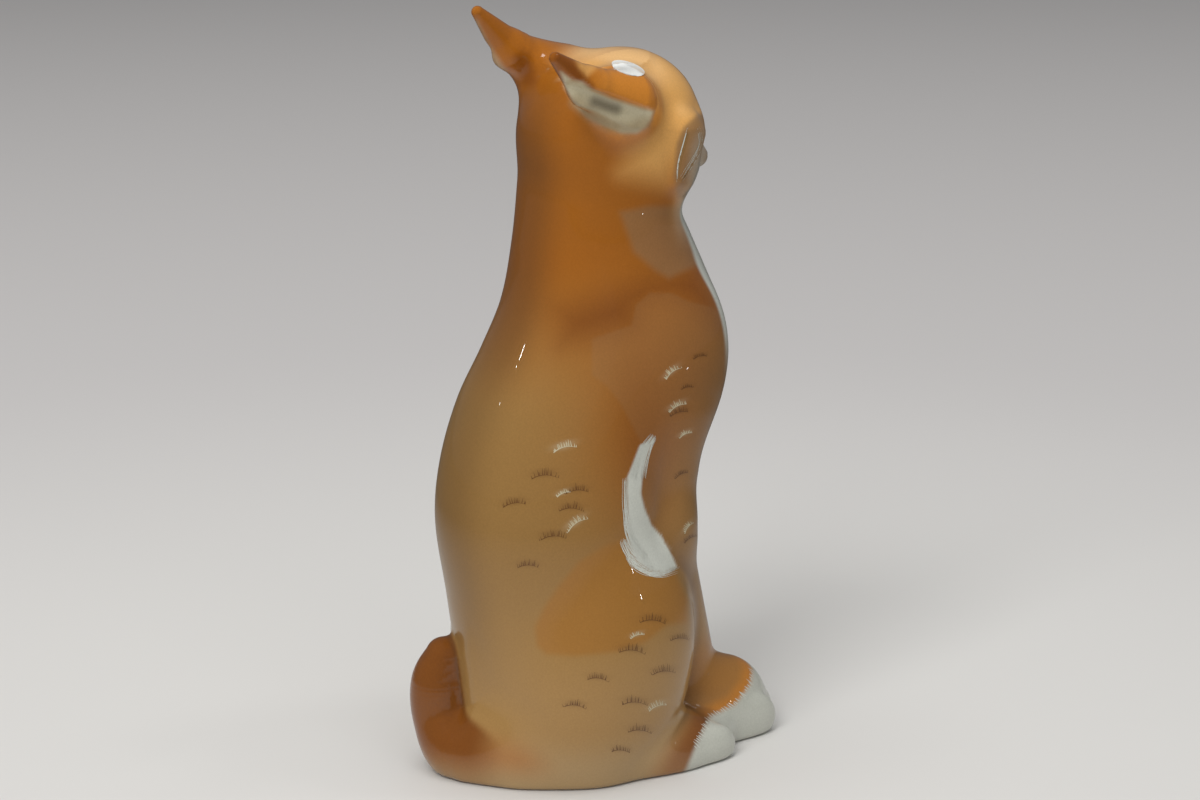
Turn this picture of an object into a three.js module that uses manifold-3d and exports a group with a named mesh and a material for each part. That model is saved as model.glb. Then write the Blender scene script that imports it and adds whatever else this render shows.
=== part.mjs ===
// A sitting lynx in glazed porcelain, made of nine slip castings that are luted together.
// Millimetres, +Z up. The lynx looks along -Y, its left side is +X, and it stands on z = 0.
//
// Each form is written as a field: a function that gives the distance from a point to the form's
// surface, negative inside. Fields blend like wet clay, and a closed skin is then drawn over them.

import * as THREE from "three";
import { mergeVertices } from "three/addons/utils/BufferGeometryUtils.js";
import Module from "manifold-3d";

const wasm = await Module();
wasm.setup();

// Joints between the castings
const JOINT_GAP = 0.3;
const NECK_HEIGHT = 130;
const VENT_RADIUS = 4;
const VENT_DEPTH = 9;
const VENT_Y = 14;

// Trunk sections from the ground to the crown: height, chest line, back line, half width
const TRUNK_SECTIONS = [
  [-10, -18, 32, 24],
  [0, -19.5, 32.8, 25.2],
  [25, -19.5, 35.8, 26.6],
  [45, -18.5, 38.6, 27],
  [65, -19, 41.6, 27.5],
  [80, -23, 40.2, 27],
  [95, -29, 35.2, 26.3],
  [107, -33.5, 28.3, 25.3],
  [119, -33.5, 22.6, 23],
  [134, -27, 19.6, 19.8],
  [150, -18, 17.2, 18.6],
  [165, -14, 15.5, 17],
  [175, -10, 9, 13],
];
const TRUNK_BLEND = 9;
const HAUNCH = { centre: [18, 4.8, 29.5], radii: [13.2, 22, 31], tilt: 14 };
const SHOULDER = { centre: [15.5, -13.5, 101], radii: [11, 15, 22], tilt: 10 };

// Forelegs and paws, given for the left side
const LEG_TOP = [15, -12, 92];
const LEG_ELBOW = [13.5, -9.6, 61];
const LEG_FOOT = [9, -25, 17];
const LEG_TOP_RADIUS = 11;
const LEG_ELBOW_RADIUS = 9.5;
const LEG_FOOT_RADIUS = 7.6;
const LEG_BLEND = 3;
const ELBOW_BLEND = 8;
const FORE_PAW = { centre: [11.5, -31, 5.5], radii: [10, 17, 16.2] };
const FORE_TOES = { count: 4, pitch: 4.6, reach: 2.5, centre: [11.5, -39, 4.5], radii: [3.1, 7.5, 6.8] };
const HIND_PAW = { centre: [21.5, -11, 3.5], radii: [8.3, 15.5, 9.5] };
const HIND_TOES = { count: 3, pitch: 4.6, reach: 1.5, centre: [21.5, -20, 3.5], radii: [3.2, 7, 6] };
const PAW_BLEND = 5;
const TOE_BLEND = 2.5;

// The bobbed tail: points of its middle line and its radius there
const TAIL_LINE = [
  [-5, 29, 6],
  [4.5, 36, 5.8],
  [10.8, 38, 13],
  [11.8, 38.6, 22],
  [10.2, 37.8, 29.8],
];
const TAIL_RADII = [9.5, 8.8, 7.6, 6.9, 4.6];
const TAIL_STEPS = 14;
const TAIL_BLEND = 3;

// The head is tipped to its right and turned a little to its left about this point
const HEAD_PIVOT = [0, -3, 150];
const HEAD_ROLL = 10.5;
const HEAD_YAW = 4;
const NECK_BLEND = 6;
const SKULL = { centre: [0, -5.3, 161.2], radii: [19.5, 22.6, 19.4] };
const FOREHEAD = { centre: [0, -11.8, 166], radii: [14, 11.6, 11.4] };
const CHEEK = { centre: [9.5, -12, 154], radii: [10, 11, 11] };
const MUZZLE = { centre: [0, -22.5, 155], radii: [9.5, 9.5, 7.5] };
const CHIN = { centre: [0, -19.5, 149.8], radii: [6.5, 6, 4.5] };
const NOSE = { centre: [0, -31.2, 158], radii: [3.6, 2.6, 2.6] };
const BROW = { centre: [8, -19.5, 165.5], radii: [6, 4, 3.2] };
const FACE_BLEND = 6;
const FEATURE_BLEND = 3;
const RUFF_LENGTH = 11;
const RUFF_LEAN = 1;
const RUFF_ROOT_SHARE = 0.82;
const RUFF_TIP_RADIUS = 1.4;
const RUFF_LOCKS = [
  { tip: [19.5, -11, 153.5], radius: 5.5 },
  { tip: [18.5, -14.5, 152], radius: 5 },
  { tip: [13.5, -17.5, 151.5], radius: 4.5 },
];

// Ears: a swept-back horn with a pocket that opens sideways. Both are given as if on the left side.
const EAR_LEFT = { base: [16.8, 4.5, 172.6], tip: [16.8, 27.3, 189.6] };
const EAR_RIGHT = { base: [16.8, 6.5, 174.4], tip: [17, 29, 187.2] };
const EAR_OUTWARD = [1, 0.2, -0.35];
const EAR_BASE_RADIUS = 7.2;
const EAR_MIDDLE_RADIUS = 4.7;
const EAR_TIP_RADIUS = 1.5;
const EAR_MIDDLE_SHARE = 0.43;
const EAR_BELLY = 2.6;
const EAR_SHELL_BLEND = 2;
const EAR_ROOT = [-2, -1, 0.6];
const EAR_MIDDLE_OUT = 0.3;
const POCKET_BASE = [-2, 7, 3.2];
const POCKET_TIP = [17, 4, 4.2];
const POCKET_BASE_RADIUS = 2.9;
const POCKET_TIP_RADIUS = 1.8;
const POCKET_EDGE = 1.5;
const EAR_BLEND = 7.5;

// The space that each casting lies in, with room to spare: low corner, high corner
const SPACE = {
  trunk: [[-52, -66, -14], [52, 64, 146]],
  head: [[-46, -54, 118], [46, 50, 210]],
  leg: [[-38, -66, -9], [38, 14, 114]],
  paw: [[-48, -50, -8], [48, 22, 28]],
  tail: [[-28, 10, -10], [36, 66, 54]],
  ear: [[-46, -18, 150], [46, 52, 214]],
};
const SPAN = 400;

// Facet size of each casting
const CELL = { trunk: 5.4, head: 3.1, ear: 2.2, leg: 3, paw: 2.6, tail: 2.8 };
const JOINT_CELL = { leg: 5.5, paw: 4.5, tail: 4.5, ear: 3.6 };
const HAIRS = [0.05, 0.08, 0.12, 0.18, 0.26, 0.03];

const vector = ([x, y, z]) => new THREE.Vector3(x, y, z);

function turn(x, y, z) {
  const [a, b, c] = [x, y, z].map(THREE.MathUtils.degToRad);
  return new THREE.Quaternion().setFromEuler(new THREE.Euler(a, b, c, "ZYX"));
}

// An egg-shaped mass, tilted about the X axis.
function egg({ centre, radii, tilt = 0 }) {
  const middle = vector(centre);
  const size = vector(radii);
  const untilt = turn(-tilt, 0, 0);
  const q = new THREE.Vector3();
  return (p) => {
    q.copy(p).sub(middle).applyQuaternion(untilt).divide(size);
    const reach = q.length();
    const slope = q.divide(size).length();
    return slope > 1e-9 ? (reach * (reach - 1)) / slope : -Math.min(...radii);
  };
}

// A round bar from one point to another, with a radius at each end.
function taper(from, to, fromRadius, toRadius) {
  const line = new THREE.Line3(vector(from), vector(to));
  const q = new THREE.Vector3();
  return (p) => {
    const along = line.closestPointToPointParameter(p, true);
    const radius = THREE.MathUtils.lerp(fromRadius, toRadius, along);
    return line.at(along, q).distanceTo(p) - radius;
  };
}

// A bar that follows a curve, with its radius spread along the way.
function horn(points, radii, steps) {
  const curve = new THREE.CatmullRomCurve3(points.map(vector), false, "catmullrom", 0.5);
  const girth = new THREE.SplineCurve(radii.map((r, i) => new THREE.Vector2(i, r)));
  const bars = Array.from({ length: steps }, (_, i) => {
    const [a, b] = [i / steps, (i + 1) / steps];
    const [from, to] = [curve.getPoint(a).toArray(), curve.getPoint(b).toArray()];
    return taper(from, to, girth.getPoint(a).y, girth.getPoint(b).y);
  });
  return (p) => Math.min(...bars.map((bar) => bar(p)));
}

// A smooth loft through oval sections that are stacked on the Z axis.
function loft(sections) {
  const slope = sections.map((_, i) => {
    const a = sections[Math.max(i - 1, 0)];
    const b = sections[Math.min(i + 1, sections.length - 1)];
    return a.map((value, n) => (b[n] - value) / (b[0] - a[0]));
  });
  const top = sections[sections.length - 1][0];
  const bottom = sections[0][0];
  const sectionAt = (z) => {
    let i = 0;
    while (i < sections.length - 2 && z > sections[i + 1][0]) i += 1;
    const [a, b] = [sections[i], sections[i + 1]];
    const height = b[0] - a[0];
    const t = THREE.MathUtils.clamp((z - a[0]) / height, 0, 1);
    const s = 1 - t;
    return [1, 2, 3].map(
      (n) =>
        (1 + 2 * t) * s * s * a[n] +
        t * s * s * height * slope[i][n] +
        t * t * (3 - 2 * t) * b[n] -
        t * t * s * height * slope[i + 1][n],
    );
  };
  return (p) => {
    const [front, back, half] = sectionAt(p.z);
    const x = p.x;
    const y = p.y - (front + back) / 2;
    const share = Math.hypot(x / half, (2 * y) / (back - front));
    const side = Math.hypot(x, y) * (1 - 1 / Math.max(share, 1e-6));
    return Math.max(side, p.z - top, bottom - p.z);
  };
}

// Joins fields with a fillet of the given width.
function blend(width, ...fields) {
  return (p) =>
    fields.reduce((a, field) => {
      const b = field(p);
      const overlap = Math.max(width - Math.abs(a - b), 0);
      return Math.min(a, b) - (overlap * overlap) / (4 * width);
    }, Infinity);
}

// Takes one field out of another and rounds the edge.
function carve(width, form, hollow) {
  const inverse = blend(width, (p) => -form(p), hollow);
  return (p) => -inverse(p);
}

// Gives the left side's form to the right side too.
function bothSides(field) {
  const q = new THREE.Vector3();
  return (p) => field(q.set(Math.abs(p.x), p.y, p.z));
}

// Poses a field that was written for an upright, straight head.
function posed(field) {
  const pivot = vector(HEAD_PIVOT);
  const unpose = turn(0, 0, HEAD_YAW).multiply(turn(0, -HEAD_ROLL, 0)).invert();
  const q = new THREE.Vector3();
  return (p) => field(q.copy(p).sub(pivot).applyQuaternion(unpose).add(pivot));
}

// A row of toes across a paw, the middle ones further forward.
function toes({ count, pitch, reach, centre, radii }) {
  return Array.from({ length: count }, (_, i) => {
    const across = i - (count - 1) / 2;
    const forward = Math.abs(across) < 1 ? reach : 0;
    return egg({ centre: [centre[0] + across * pitch, centre[1] - forward, centre[2]], radii });
  });
}

function makeEar(ends) {
  const base = vector(ends.base);
  const along = vector(ends.tip).sub(base);
  const length = along.length();
  along.normalize();
  const out = vector(EAR_OUTWARD);
  out.addScaledVector(along, -out.dot(along)).normalize();
  const under = new THREE.Vector3().crossVectors(along, out);
  const middle = [length * EAR_MIDDLE_SHARE, EAR_MIDDLE_OUT, EAR_BELLY];
  const shell = blend(
    EAR_SHELL_BLEND,
    taper(EAR_ROOT, middle, EAR_BASE_RADIUS, EAR_MIDDLE_RADIUS),
    taper(middle, [length - EAR_TIP_RADIUS, 0, EAR_BELLY / 2], EAR_MIDDLE_RADIUS, EAR_TIP_RADIUS),
  );
  const pocket = taper(POCKET_BASE, POCKET_TIP, POCKET_BASE_RADIUS, POCKET_TIP_RADIUS);
  const form = carve(POCKET_EDGE, shell, pocket);
  const d = new THREE.Vector3();
  const q = new THREE.Vector3();
  return (p) => {
    d.copy(p).sub(base);
    return form(q.set(d.dot(along), d.dot(out), d.dot(under)));
  };
}

// The forms
const trunk = blend(TRUNK_BLEND, loft(TRUNK_SECTIONS), bothSides(egg(HAUNCH)), bothSides(egg(SHOULDER)));
const leg = blend(
  ELBOW_BLEND,
  taper(LEG_TOP, LEG_ELBOW, LEG_TOP_RADIUS, LEG_ELBOW_RADIUS),
  taper(LEG_ELBOW, LEG_FOOT, LEG_ELBOW_RADIUS, LEG_FOOT_RADIUS),
);
const foreleg = bothSides(blend(TOE_BLEND, blend(PAW_BLEND, leg, egg(FORE_PAW)), ...toes(FORE_TOES)));
const hindPaw = bothSides(blend(TOE_BLEND, egg(HIND_PAW), ...toes(HIND_TOES)));
const tail = horn(TAIL_LINE, TAIL_RADII, TAIL_STEPS);
const ruff = RUFF_LOCKS.map(({ tip: [x, y, z], radius }) =>
  bothSides(
    taper([x * RUFF_ROOT_SHARE, y - RUFF_LEAN, z + RUFF_LENGTH], [x, y, z], radius, RUFF_TIP_RADIUS),
  ),
);
const face = blend(FACE_BLEND, egg(SKULL), egg(FOREHEAD), bothSides(egg(CHEEK)), egg(MUZZLE), egg(CHIN));
const skull = posed(blend(FEATURE_BLEND, face, bothSides(egg(BROW)), egg(NOSE), ...ruff));
const leftEar = bothSides(makeEar(EAR_LEFT));
const rightEar = bothSides(makeEar(EAR_RIGHT));
const ear = posed((p) => (p.x > 0 ? leftEar(p) : rightEar(p)));

const stem = blend(NECK_BLEND, trunk, skull);
const withLegs = blend(LEG_BLEND, stem, foreleg);
const withPaws = blend(PAW_BLEND, withLegs, hindPaw);
const withTail = blend(TAIL_BLEND, withPaws, tail);
const figure = blend(EAR_BLEND, withTail, ear);

// Draws a closed skin over a field inside a box, with facets of about the cell's size.
function skin(field, low, high, cell) {
  const count = high.map((h, i) => Math.ceil((h - low[i]) / cell) + 1);
  const origin = vector(high.map((h, i) => (h + low[i] - (count[i] - 1) * cell) / 2));
  const [nx, ny, nz] = count;
  const step = [ny * nz, nz, 1];
  const value = new Float64Array(nx * ny * nz);
  const corner = (i, j, k) => new THREE.Vector3(i, j, k).multiplyScalar(cell).add(origin);
  const eachCorner = (visit) => {
    for (let i = 0; i < nx; i += 1) {
      for (let j = 0; j < ny; j += 1) {
        for (let k = 0; k < nz; k += 1) visit([i, j, k], i * step[0] + j * step[1] + k);
      }
    }
  };
  eachCorner((at, index) => {
    const border = at.some((n, axis) => n === 0 || n === count[axis] - 1);
    const distance = field(corner(...at));
    value[index] = border ? Math.max(distance, cell / 2) : distance;
  });

  const sum = new Map();
  const triangles = [];
  const quads = [];
  eachCorner((at, index) => {
    for (let axis = 0; axis < 3; axis += 1) {
      if (at[axis] === count[axis] - 1) continue;
      const [a, b] = [value[index], value[index + step[axis]]];
      if (a < 0 === b < 0) continue;
      const crossing = corner(...at);
      crossing.setComponent(axis, crossing.getComponent(axis) + (cell * a) / (a - b));
      const [u, v] = [step[(axis + 1) % 3], step[(axis + 2) % 3]];
      const ring = [index - u - v, index - v, index, index - u];
      for (const key of ring) {
        if (!sum.has(key)) sum.set(key, { point: new THREE.Vector3(), hits: 0 });
        const cellSum = sum.get(key);
        cellSum.point.add(crossing);
        cellSum.hits += 1;
      }
      quads.push(a < 0 ? ring : ring.reverse());
    }
  });

  const points = [];
  for (const cellSum of sum.values()) {
    cellSum.index = points.length;
    points.push(settle(field, cellSum.point.divideScalar(cellSum.hits), cell));
  }
  for (const quad of quads) {
    const [a, b, c, d] = quad.map((key) => sum.get(key).index);
    const short = points[a].distanceTo(points[c]) < points[b].distanceTo(points[d]);
    triangles.push(...(short ? [a, b, c, a, c, d] : [a, b, d, b, c, d]));
  }
  const geometry = new THREE.BufferGeometry().setFromPoints(points).setIndex(triangles);
  geometry.computeVertexNormals();
  return geometry;
}

// Moves a skin outwards, or inwards where the distance is negative.
function swell(geometry, distance) {
  const moved = geometry.clone();
  const { position, normal } = moved.attributes;
  const point = new THREE.Vector3();
  const direction = new THREE.Vector3();
  for (let i = 0; i < position.count; i += 1) {
    direction.fromBufferAttribute(normal, i);
    point.fromBufferAttribute(position, i).addScaledVector(direction, distance);
    position.setXYZ(i, ...point);
  }
  return moved;
}

// Moves a point that is near a field's surface onto it.
function settle(field, point, cell) {
  const reach = 0.02;
  const axes = [new THREE.Vector3(reach, 0, 0), new THREE.Vector3(0, reach, 0), new THREE.Vector3(0, 0, reach)];
  const probe = new THREE.Vector3();
  for (let round = 0; round < 3; round += 1) {
    const distance = field(point);
    if (Math.abs(distance) > cell) break;
    const slope = new THREE.Vector3(
      ...axes.map((a) => (field(probe.copy(point).add(a)) - field(probe.copy(point).sub(a))) / (2 * reach)),
    );
    point.addScaledVector(slope, -distance / Math.max(slope.lengthSq(), 0.25));
  }
  return point;
}

function makeSolid(positions, triangles) {
  return new wasm.Manifold(
    new wasm.Mesh({
      numProp: 3,
      vertProperties: new Float32Array(positions),
      triVerts: new Uint32Array(triangles),
    }),
  );
}

function solidOf(geometry) {
  geometry.deleteAttribute("normal");
  geometry.deleteAttribute("uv");
  const merged = mergeVertices(geometry, 1e-4);
  return makeSolid(merged.attributes.position.array, merged.index.array);
}

// A square block between two corners.
function block(low, high) {
  const size = vector(high).sub(vector(low));
  const middle = vector(high).add(vector(low)).divideScalar(2);
  return solidOf(new THREE.BoxGeometry(...size).translate(...middle));
}

// A block between two heights, wide enough to take in the whole figure.
const slab = (bottom, top) => block([-SPAN, -SPAN, bottom], [SPAN, SPAN, top]);

// Keeps the main piece where a cut leaves crumbs.
function mainPiece(solid) {
  return solid.decompose().reduce((a, b) => (a.volume() > b.volume() ? a : b));
}

// Draws points together that are closer than a hair, and drops the triangles that this closes.
function draw(positions, triangles, hair) {
  const leader = Uint32Array.from({ length: positions.length / 3 }, (_, i) => i);
  const find = (i) => (leader[i] === i ? i : (leader[i] = find(leader[i])));
  const point = (i) => new THREE.Vector3().fromArray(positions, 3 * i);
  const corners = (i) => [...triangles.slice(i, i + 3)];
  for (let i = 0; i < triangles.length; i += 3) {
    corners(i).forEach((a, n, all) => {
      const b = all[(n + 1) % 3];
      if (point(a).distanceTo(point(b)) < hair) leader[find(a)] = find(b);
    });
  }
  const faces = new Map();
  for (let i = 0; i < triangles.length; i += 3) {
    const face = corners(i).map(find);
    if (new Set(face).size < 3) continue;
    const key = [...face].sort((a, b) => a - b).join();
    if (!faces.delete(key)) faces.set(key, face);
  }
  return [...faces.values()];
}

// Each edge of a closed skin lies between two faces.
function isClosed(faces) {
  const sharing = new Map();
  for (const face of faces) {
    face.forEach((a, n) => {
      const b = face[(n + 1) % 3];
      const key = Math.min(a, b) + "," + Math.max(a, b);
      sharing.set(key, (sharing.get(key) ?? 0) + 1);
    });
  }
  return [...sharing.values()].every((count) => count === 2);
}

// Parts the skin where two stretches of it touch, by drawing both back a hair.
function part(geometry) {
  const { position, normal } = geometry.attributes;
  const point = new THREE.Vector3();
  const direction = new THREE.Vector3();
  const names = Array.from({ length: position.count }, (_, i) =>
    point.fromBufferAttribute(position, i).multiplyScalar(1000).round().toArray().join(),
  );
  const count = new Map();
  names.forEach((key) => count.set(key, (count.get(key) ?? 0) + 1));
  names.forEach((key, i) => {
    if (count.get(key) === 1) return;
    direction.fromBufferAttribute(normal, i);
    point.fromBufferAttribute(position, i).addScaledVector(direction, -HAIRS[0]);
    position.setXYZ(i, ...point);
  });
  return geometry;
}

// Clears away the slivers that a cut leaves along its rim.
function tidy(solid) {
  const { vertProperties, triVerts } = solid.getMesh();
  const faces = HAIRS.map((hair) => draw(vertProperties, triVerts, hair)).find(isClosed);
  if (!faces) throw new Error("a casting has an edge that is not between two faces");
  const used = [...new Set(faces.flat())];
  const place = new Map(used.map((old, index) => [old, index]));
  const positions = used.flatMap((i) => [...vertProperties.slice(3 * i, 3 * i + 3)]);
  const geometry = new THREE.BufferGeometry();
  geometry.setAttribute("position", new THREE.Float32BufferAttribute(positions, 3));
  geometry.setIndex(faces.flat().map((i) => place.get(i)));
  geometry.computeVertexNormals();
  return part(geometry);
}

// The castings
const ground = slab(-SPAN, 0);
const aboveNeck = slab(NECK_HEIGHT + JOINT_GAP / 2, SPAN);
const belowNeck = slab(0, NECK_HEIGHT - JOINT_GAP / 2);
const leftHalf = block([JOINT_GAP / 2, -SPAN, -SPAN], [SPAN, SPAN, SPAN]);
const rightHalf = block([-SPAN, -SPAN, -SPAN], [-JOINT_GAP / 2, SPAN, SPAN]);
const ventHole = solidOf(
  new THREE.CylinderGeometry(VENT_RADIUS, VENT_RADIUS, 2 * VENT_DEPTH, 24)
    .rotateX(Math.PI / 2)
    .translate(0, VENT_Y, 0),
);

// A joint runs where a casting and the rest of the figure are equally near.
function joint(own, rest, box, cell) {
  const sheet = skin((p) => (own(p) - rest(p)) / 2, ...box, cell);
  return { side: solidOf(swell(sheet, -JOINT_GAP / 2)), room: solidOf(swell(sheet, JOINT_GAP / 2)) };
}

const legJoint = joint(foreleg, stem, SPACE.leg, JOINT_CELL.leg);
const pawJoint = joint(hindPaw, withLegs, SPACE.paw, JOINT_CELL.paw);
const tailJoint = joint(tail, stem, SPACE.tail, JOINT_CELL.tail);
const earJoint = joint(ear, stem, SPACE.ear, JOINT_CELL.ear);

const bodyShell = solidOf(skin(stem, ...SPACE.trunk, CELL.trunk))
  .intersect(belowNeck)
  .subtract(ventHole)
  .subtract(legJoint.room)
  .subtract(pawJoint.room)
  .subtract(tailJoint.room);
const headShell = solidOf(skin(figure, ...SPACE.head, CELL.head)).intersect(aboveNeck).subtract(earJoint.room);
const ears = solidOf(skin(figure, ...SPACE.ear, CELL.ear)).intersect(earJoint.side);
const legs = solidOf(skin(figure, ...SPACE.leg, CELL.leg))
  .intersect(legJoint.side)
  .subtract(pawJoint.room)
  .subtract(ground);
const paws = solidOf(skin(figure, ...SPACE.paw, CELL.paw)).intersect(pawJoint.side).subtract(ground);
const tailPiece = solidOf(skin(figure, ...SPACE.tail, CELL.tail)).intersect(tailJoint.side).subtract(ground);

// Glaze colours
const glaze = (colour) => new THREE.MeshStandardMaterial({ color: colour, roughness: 0.12, metalness: 0 });
const TAN = 0xb07a38;
const ORANGE = 0xb4702a;
const RUST = 0x7a4116;
const PORCELAIN = 0xd9ddd6;

function piece(name, solid, colour) {
  const mesh = new THREE.Mesh(tidy(mainPiece(solid)), glaze(colour));
  mesh.name = name;
  return mesh;
}

const lynx = new THREE.Group();
lynx.name = "sitting_lynx";
lynx.add(
  piece("body_shell", bodyShell, TAN),
  piece("head_shell", headShell, ORANGE),
  piece("ear_right", ears.intersect(rightHalf), ORANGE),
  piece("ear_left", ears.intersect(leftHalf), ORANGE),
  piece("foreleg_right", legs.intersect(rightHalf), TAN),
  piece("foreleg_left", legs.intersect(leftHalf), TAN),
  piece("hind_paw_right", paws.intersect(rightHalf), PORCELAIN),
  piece("hind_paw_left", paws.intersect(leftHalf), PORCELAIN),
  piece("tail", tailPiece, RUST),
);

export default lynx;
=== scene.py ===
"""A sitting lynx in glazed porcelain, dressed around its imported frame.

The skin is drawn over the same forms as the castings, at a finer grain and with the small features of
the face, ears and paws. Sizes are millimetres in the frame's axes, and become metres in Blender.
"""

import bpy
import numpy as np
from mathutils import Matrix, Vector
from mathutils.geometry import delaunay_2d_cdt


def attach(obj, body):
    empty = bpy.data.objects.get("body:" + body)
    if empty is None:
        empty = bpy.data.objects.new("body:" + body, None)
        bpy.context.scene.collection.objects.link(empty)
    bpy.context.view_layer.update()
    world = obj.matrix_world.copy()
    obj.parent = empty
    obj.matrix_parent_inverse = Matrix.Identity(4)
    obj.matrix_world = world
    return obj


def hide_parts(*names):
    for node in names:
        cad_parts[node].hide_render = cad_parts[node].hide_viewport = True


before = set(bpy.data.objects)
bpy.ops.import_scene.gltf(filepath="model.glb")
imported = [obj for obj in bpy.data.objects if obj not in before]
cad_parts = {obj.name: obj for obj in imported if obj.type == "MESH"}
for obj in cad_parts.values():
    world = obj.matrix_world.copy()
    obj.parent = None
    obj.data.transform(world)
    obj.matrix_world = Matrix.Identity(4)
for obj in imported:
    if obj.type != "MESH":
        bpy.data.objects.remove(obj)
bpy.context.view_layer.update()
rng = np.random.default_rng(7)

MM = 0.001
FAR = 60.0  # well clear of any form
MIRROR = np.array([-1, 1, 1])

# The view, in pixels of a 1200 x 800 picture
IMAGE = (1200, 800)
FOCAL = 2421
CAMERA_AZIMUTH = 235
CAMERA_DISTANCE = 590
CAMERA_HEIGHT = 240
ORIGIN_PIXEL = (590, 745)
SENSOR_WIDTH = 36

# Trunk sections from the ground to the crown: height, chest line, back line, half width
TRUNK_SECTIONS = [
    (-10, -18, 32, 24),
    (0, -19.5, 32.8, 25.2),
    (25, -19.5, 35.8, 26.6),
    (45, -18.5, 38.6, 27),
    (65, -19, 41.6, 27.5),
    (80, -23, 40.2, 27),
    (95, -29, 35.2, 26.3),
    (107, -33.5, 28.3, 25.3),
    (119, -33.5, 22.6, 23),
    (134, -27, 19.6, 19.8),
    (150, -18, 17.2, 18.6),
    (165, -14, 15.5, 17),
    (175, -10, 9, 13),
]
TRUNK_BLEND = 9
HAUNCH = dict(centre=(18, 4.8, 29.5), radii=(13.2, 22, 31), tilt=14)
SHOULDER = dict(centre=(15.5, -13.5, 101), radii=(11, 15, 22), tilt=10)
NECK_HEIGHT = 130
VENT_RADIUS = 4
VENT_DEPTH = 9
VENT_Y = 14
FOOT_EDGE = 1.6

# Forelegs and paws, given for the left side
LEG_TOP = (15, -12, 92)
LEG_ELBOW = (13.5, -9.6, 61)
LEG_FOOT = (9, -25, 17)
LEG_RADII = (11, 9.5, 7.6)
LEG_BLEND = 3
ELBOW_BLEND = 8
FORE_PAW = dict(centre=(11.5, -31, 5.5), radii=(10, 17, 16.2))
FORE_TOES = dict(count=4, pitch=4.6, reach=2.5, centre=(11.5, -39, 4.5), radii=(3.1, 7.5, 6.8))
HIND_PAW = dict(centre=(21.5, -11, 3.5), radii=(8.3, 15.5, 9.5))
HIND_TOES = dict(count=3, pitch=4.6, reach=1.5, centre=(21.5, -20, 3.5), radii=(3.2, 7, 6))
PAW_BLEND = 5
TOE_BLEND = 1.6

# The bobbed tail: points of its middle line, with the radius there
TAIL_LINE = [
    (-4, 27, 6, 9),
    (4.5, 36, 5.8, 8.8),
    (10.8, 38, 13, 7.6),
    (11.8, 38.6, 22, 6.9),
    (10.2, 37.8, 29.8, 4.6),
]
TAIL_STEPS = 36
TAIL_BLEND = 3
TAIL_ROOT_BLEND = 14
TAIL_ROOT_ACROSS = (7, -3)
TAIL_SPACE = ((-30, 8, -12), (38, 68, 56))

# The head is tipped to its right and turned a little to its left about this point
HEAD_PIVOT = np.array([0, -3, 150.0])
HEAD_ROLL = 10.5
HEAD_YAW = 4
HEAD_SPACE = ((-50, -60, 112), (50, 54, 215))
NECK_BLEND = 6
SKULL = dict(centre=(0, -5.3, 161.2), radii=(19.5, 22.6, 19.4))
FOREHEAD = dict(centre=(0, -11.8, 166), radii=(14, 11.6, 11.4))
CHEEK = dict(centre=(9.5, -12, 154), radii=(10, 11, 11))
MUZZLE = dict(centre=(0, -22.5, 155), radii=(9.5, 9.5, 7.5))
CHIN = dict(centre=(0, -19.5, 149.8), radii=(6.5, 6, 4.5))
NOSE = dict(centre=(0, -31.2, 158), radii=(3.6, 2.6, 2.6))
BROW = dict(centre=(8, -19.5, 165.5), radii=(6, 4, 3.2))
FACE_BLEND = 6
FEATURE_BLEND = 3
RUFF_LENGTH = 11
RUFF_LEAN = 1
RUFF_ROOT_SHARE = 0.82
RUFF_TIP_RADIUS = 1.4
RUFF_LOCKS = [
    ((19.5, -11, 153.5), 5.5),
    ((18.5, -14.5, 152), 5),
    ((13.5, -17.5, 151.5), 4.5),
]

# Ears, given for the left side: a swept-back horn with a pocket that opens sideways
EAR_LEFT = np.array([(16.8, 4.5, 172.6), (16.8, 27.3, 189.6)])
EAR_RIGHT = np.array([(16.8, 6.5, 174.4), (17, 29, 187.2)])
EAR_OUTWARD = np.array([1, 0.2, -0.35])
EAR_RADII = (7.2, 4.7, 1.5)
EAR_MIDDLE_SHARE = 0.43
EAR_BELLY = 2.6
EAR_SHELL_BLEND = 2
EAR_ROOT = (-2, -1, 0.6)
EAR_MIDDLE_OUT = 0.3
EAR_POCKET_BASE = (-3.4, 7, 0)
EAR_POCKET_TIP = (17, 4, 4.2)
EAR_POCKET_RADII = (2.9, 1.8)
EAR_POCKET_EDGE = 1.5
EAR_BLEND = 8

# Small features of the face, given for the left side of the upright head
EYE_SOCKET = dict(centre=(8.4, -27.2, 161.8), radii=(4.8, 3.2, 3.5))
EYE_BALL = dict(centre=(8, -22.6, 161.6), radii=(3.9, 3.8, 3.3))
SOCKET_EDGE = 1.6
LID_BLEND = 0.5
WHISKER_PAD = dict(centre=(4.2, -28.6, 153.6), radii=(4.8, 3.8, 3.4))
PAD_BLEND = 1.2
MOUTH_LINES = [((0, -33, 156.5), (0, -32.6, 152)), ((0, -32.6, 152), (6.4, -28.6, 150.6))]
MOUTH_RADIUS = 0.55
NOSTRIL = dict(centre=(1.7, -33.4, 157.2), radii=(0.8, 0.9, 0.6))
GROOVE_EDGE = 0.5

# The skin: how finely it is drawn, and how its points and the brushwork find it
SKIN_SPACE = ((-37, -57, -3), (37, 57, 197))
SKIN_CELL = 0.62
SKIN_BLOCK = 4
SKIN_BATCH = 2000
SEAM_STEP = 0.4
LID_DEPTH = 1.2
RIM_ROUNDS = 12
MARCH_ROUNDS = 90
MARCH_STEP = 20
MARCH_SHARE = 0.7
MIRROR_STEP = 2.0

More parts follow.
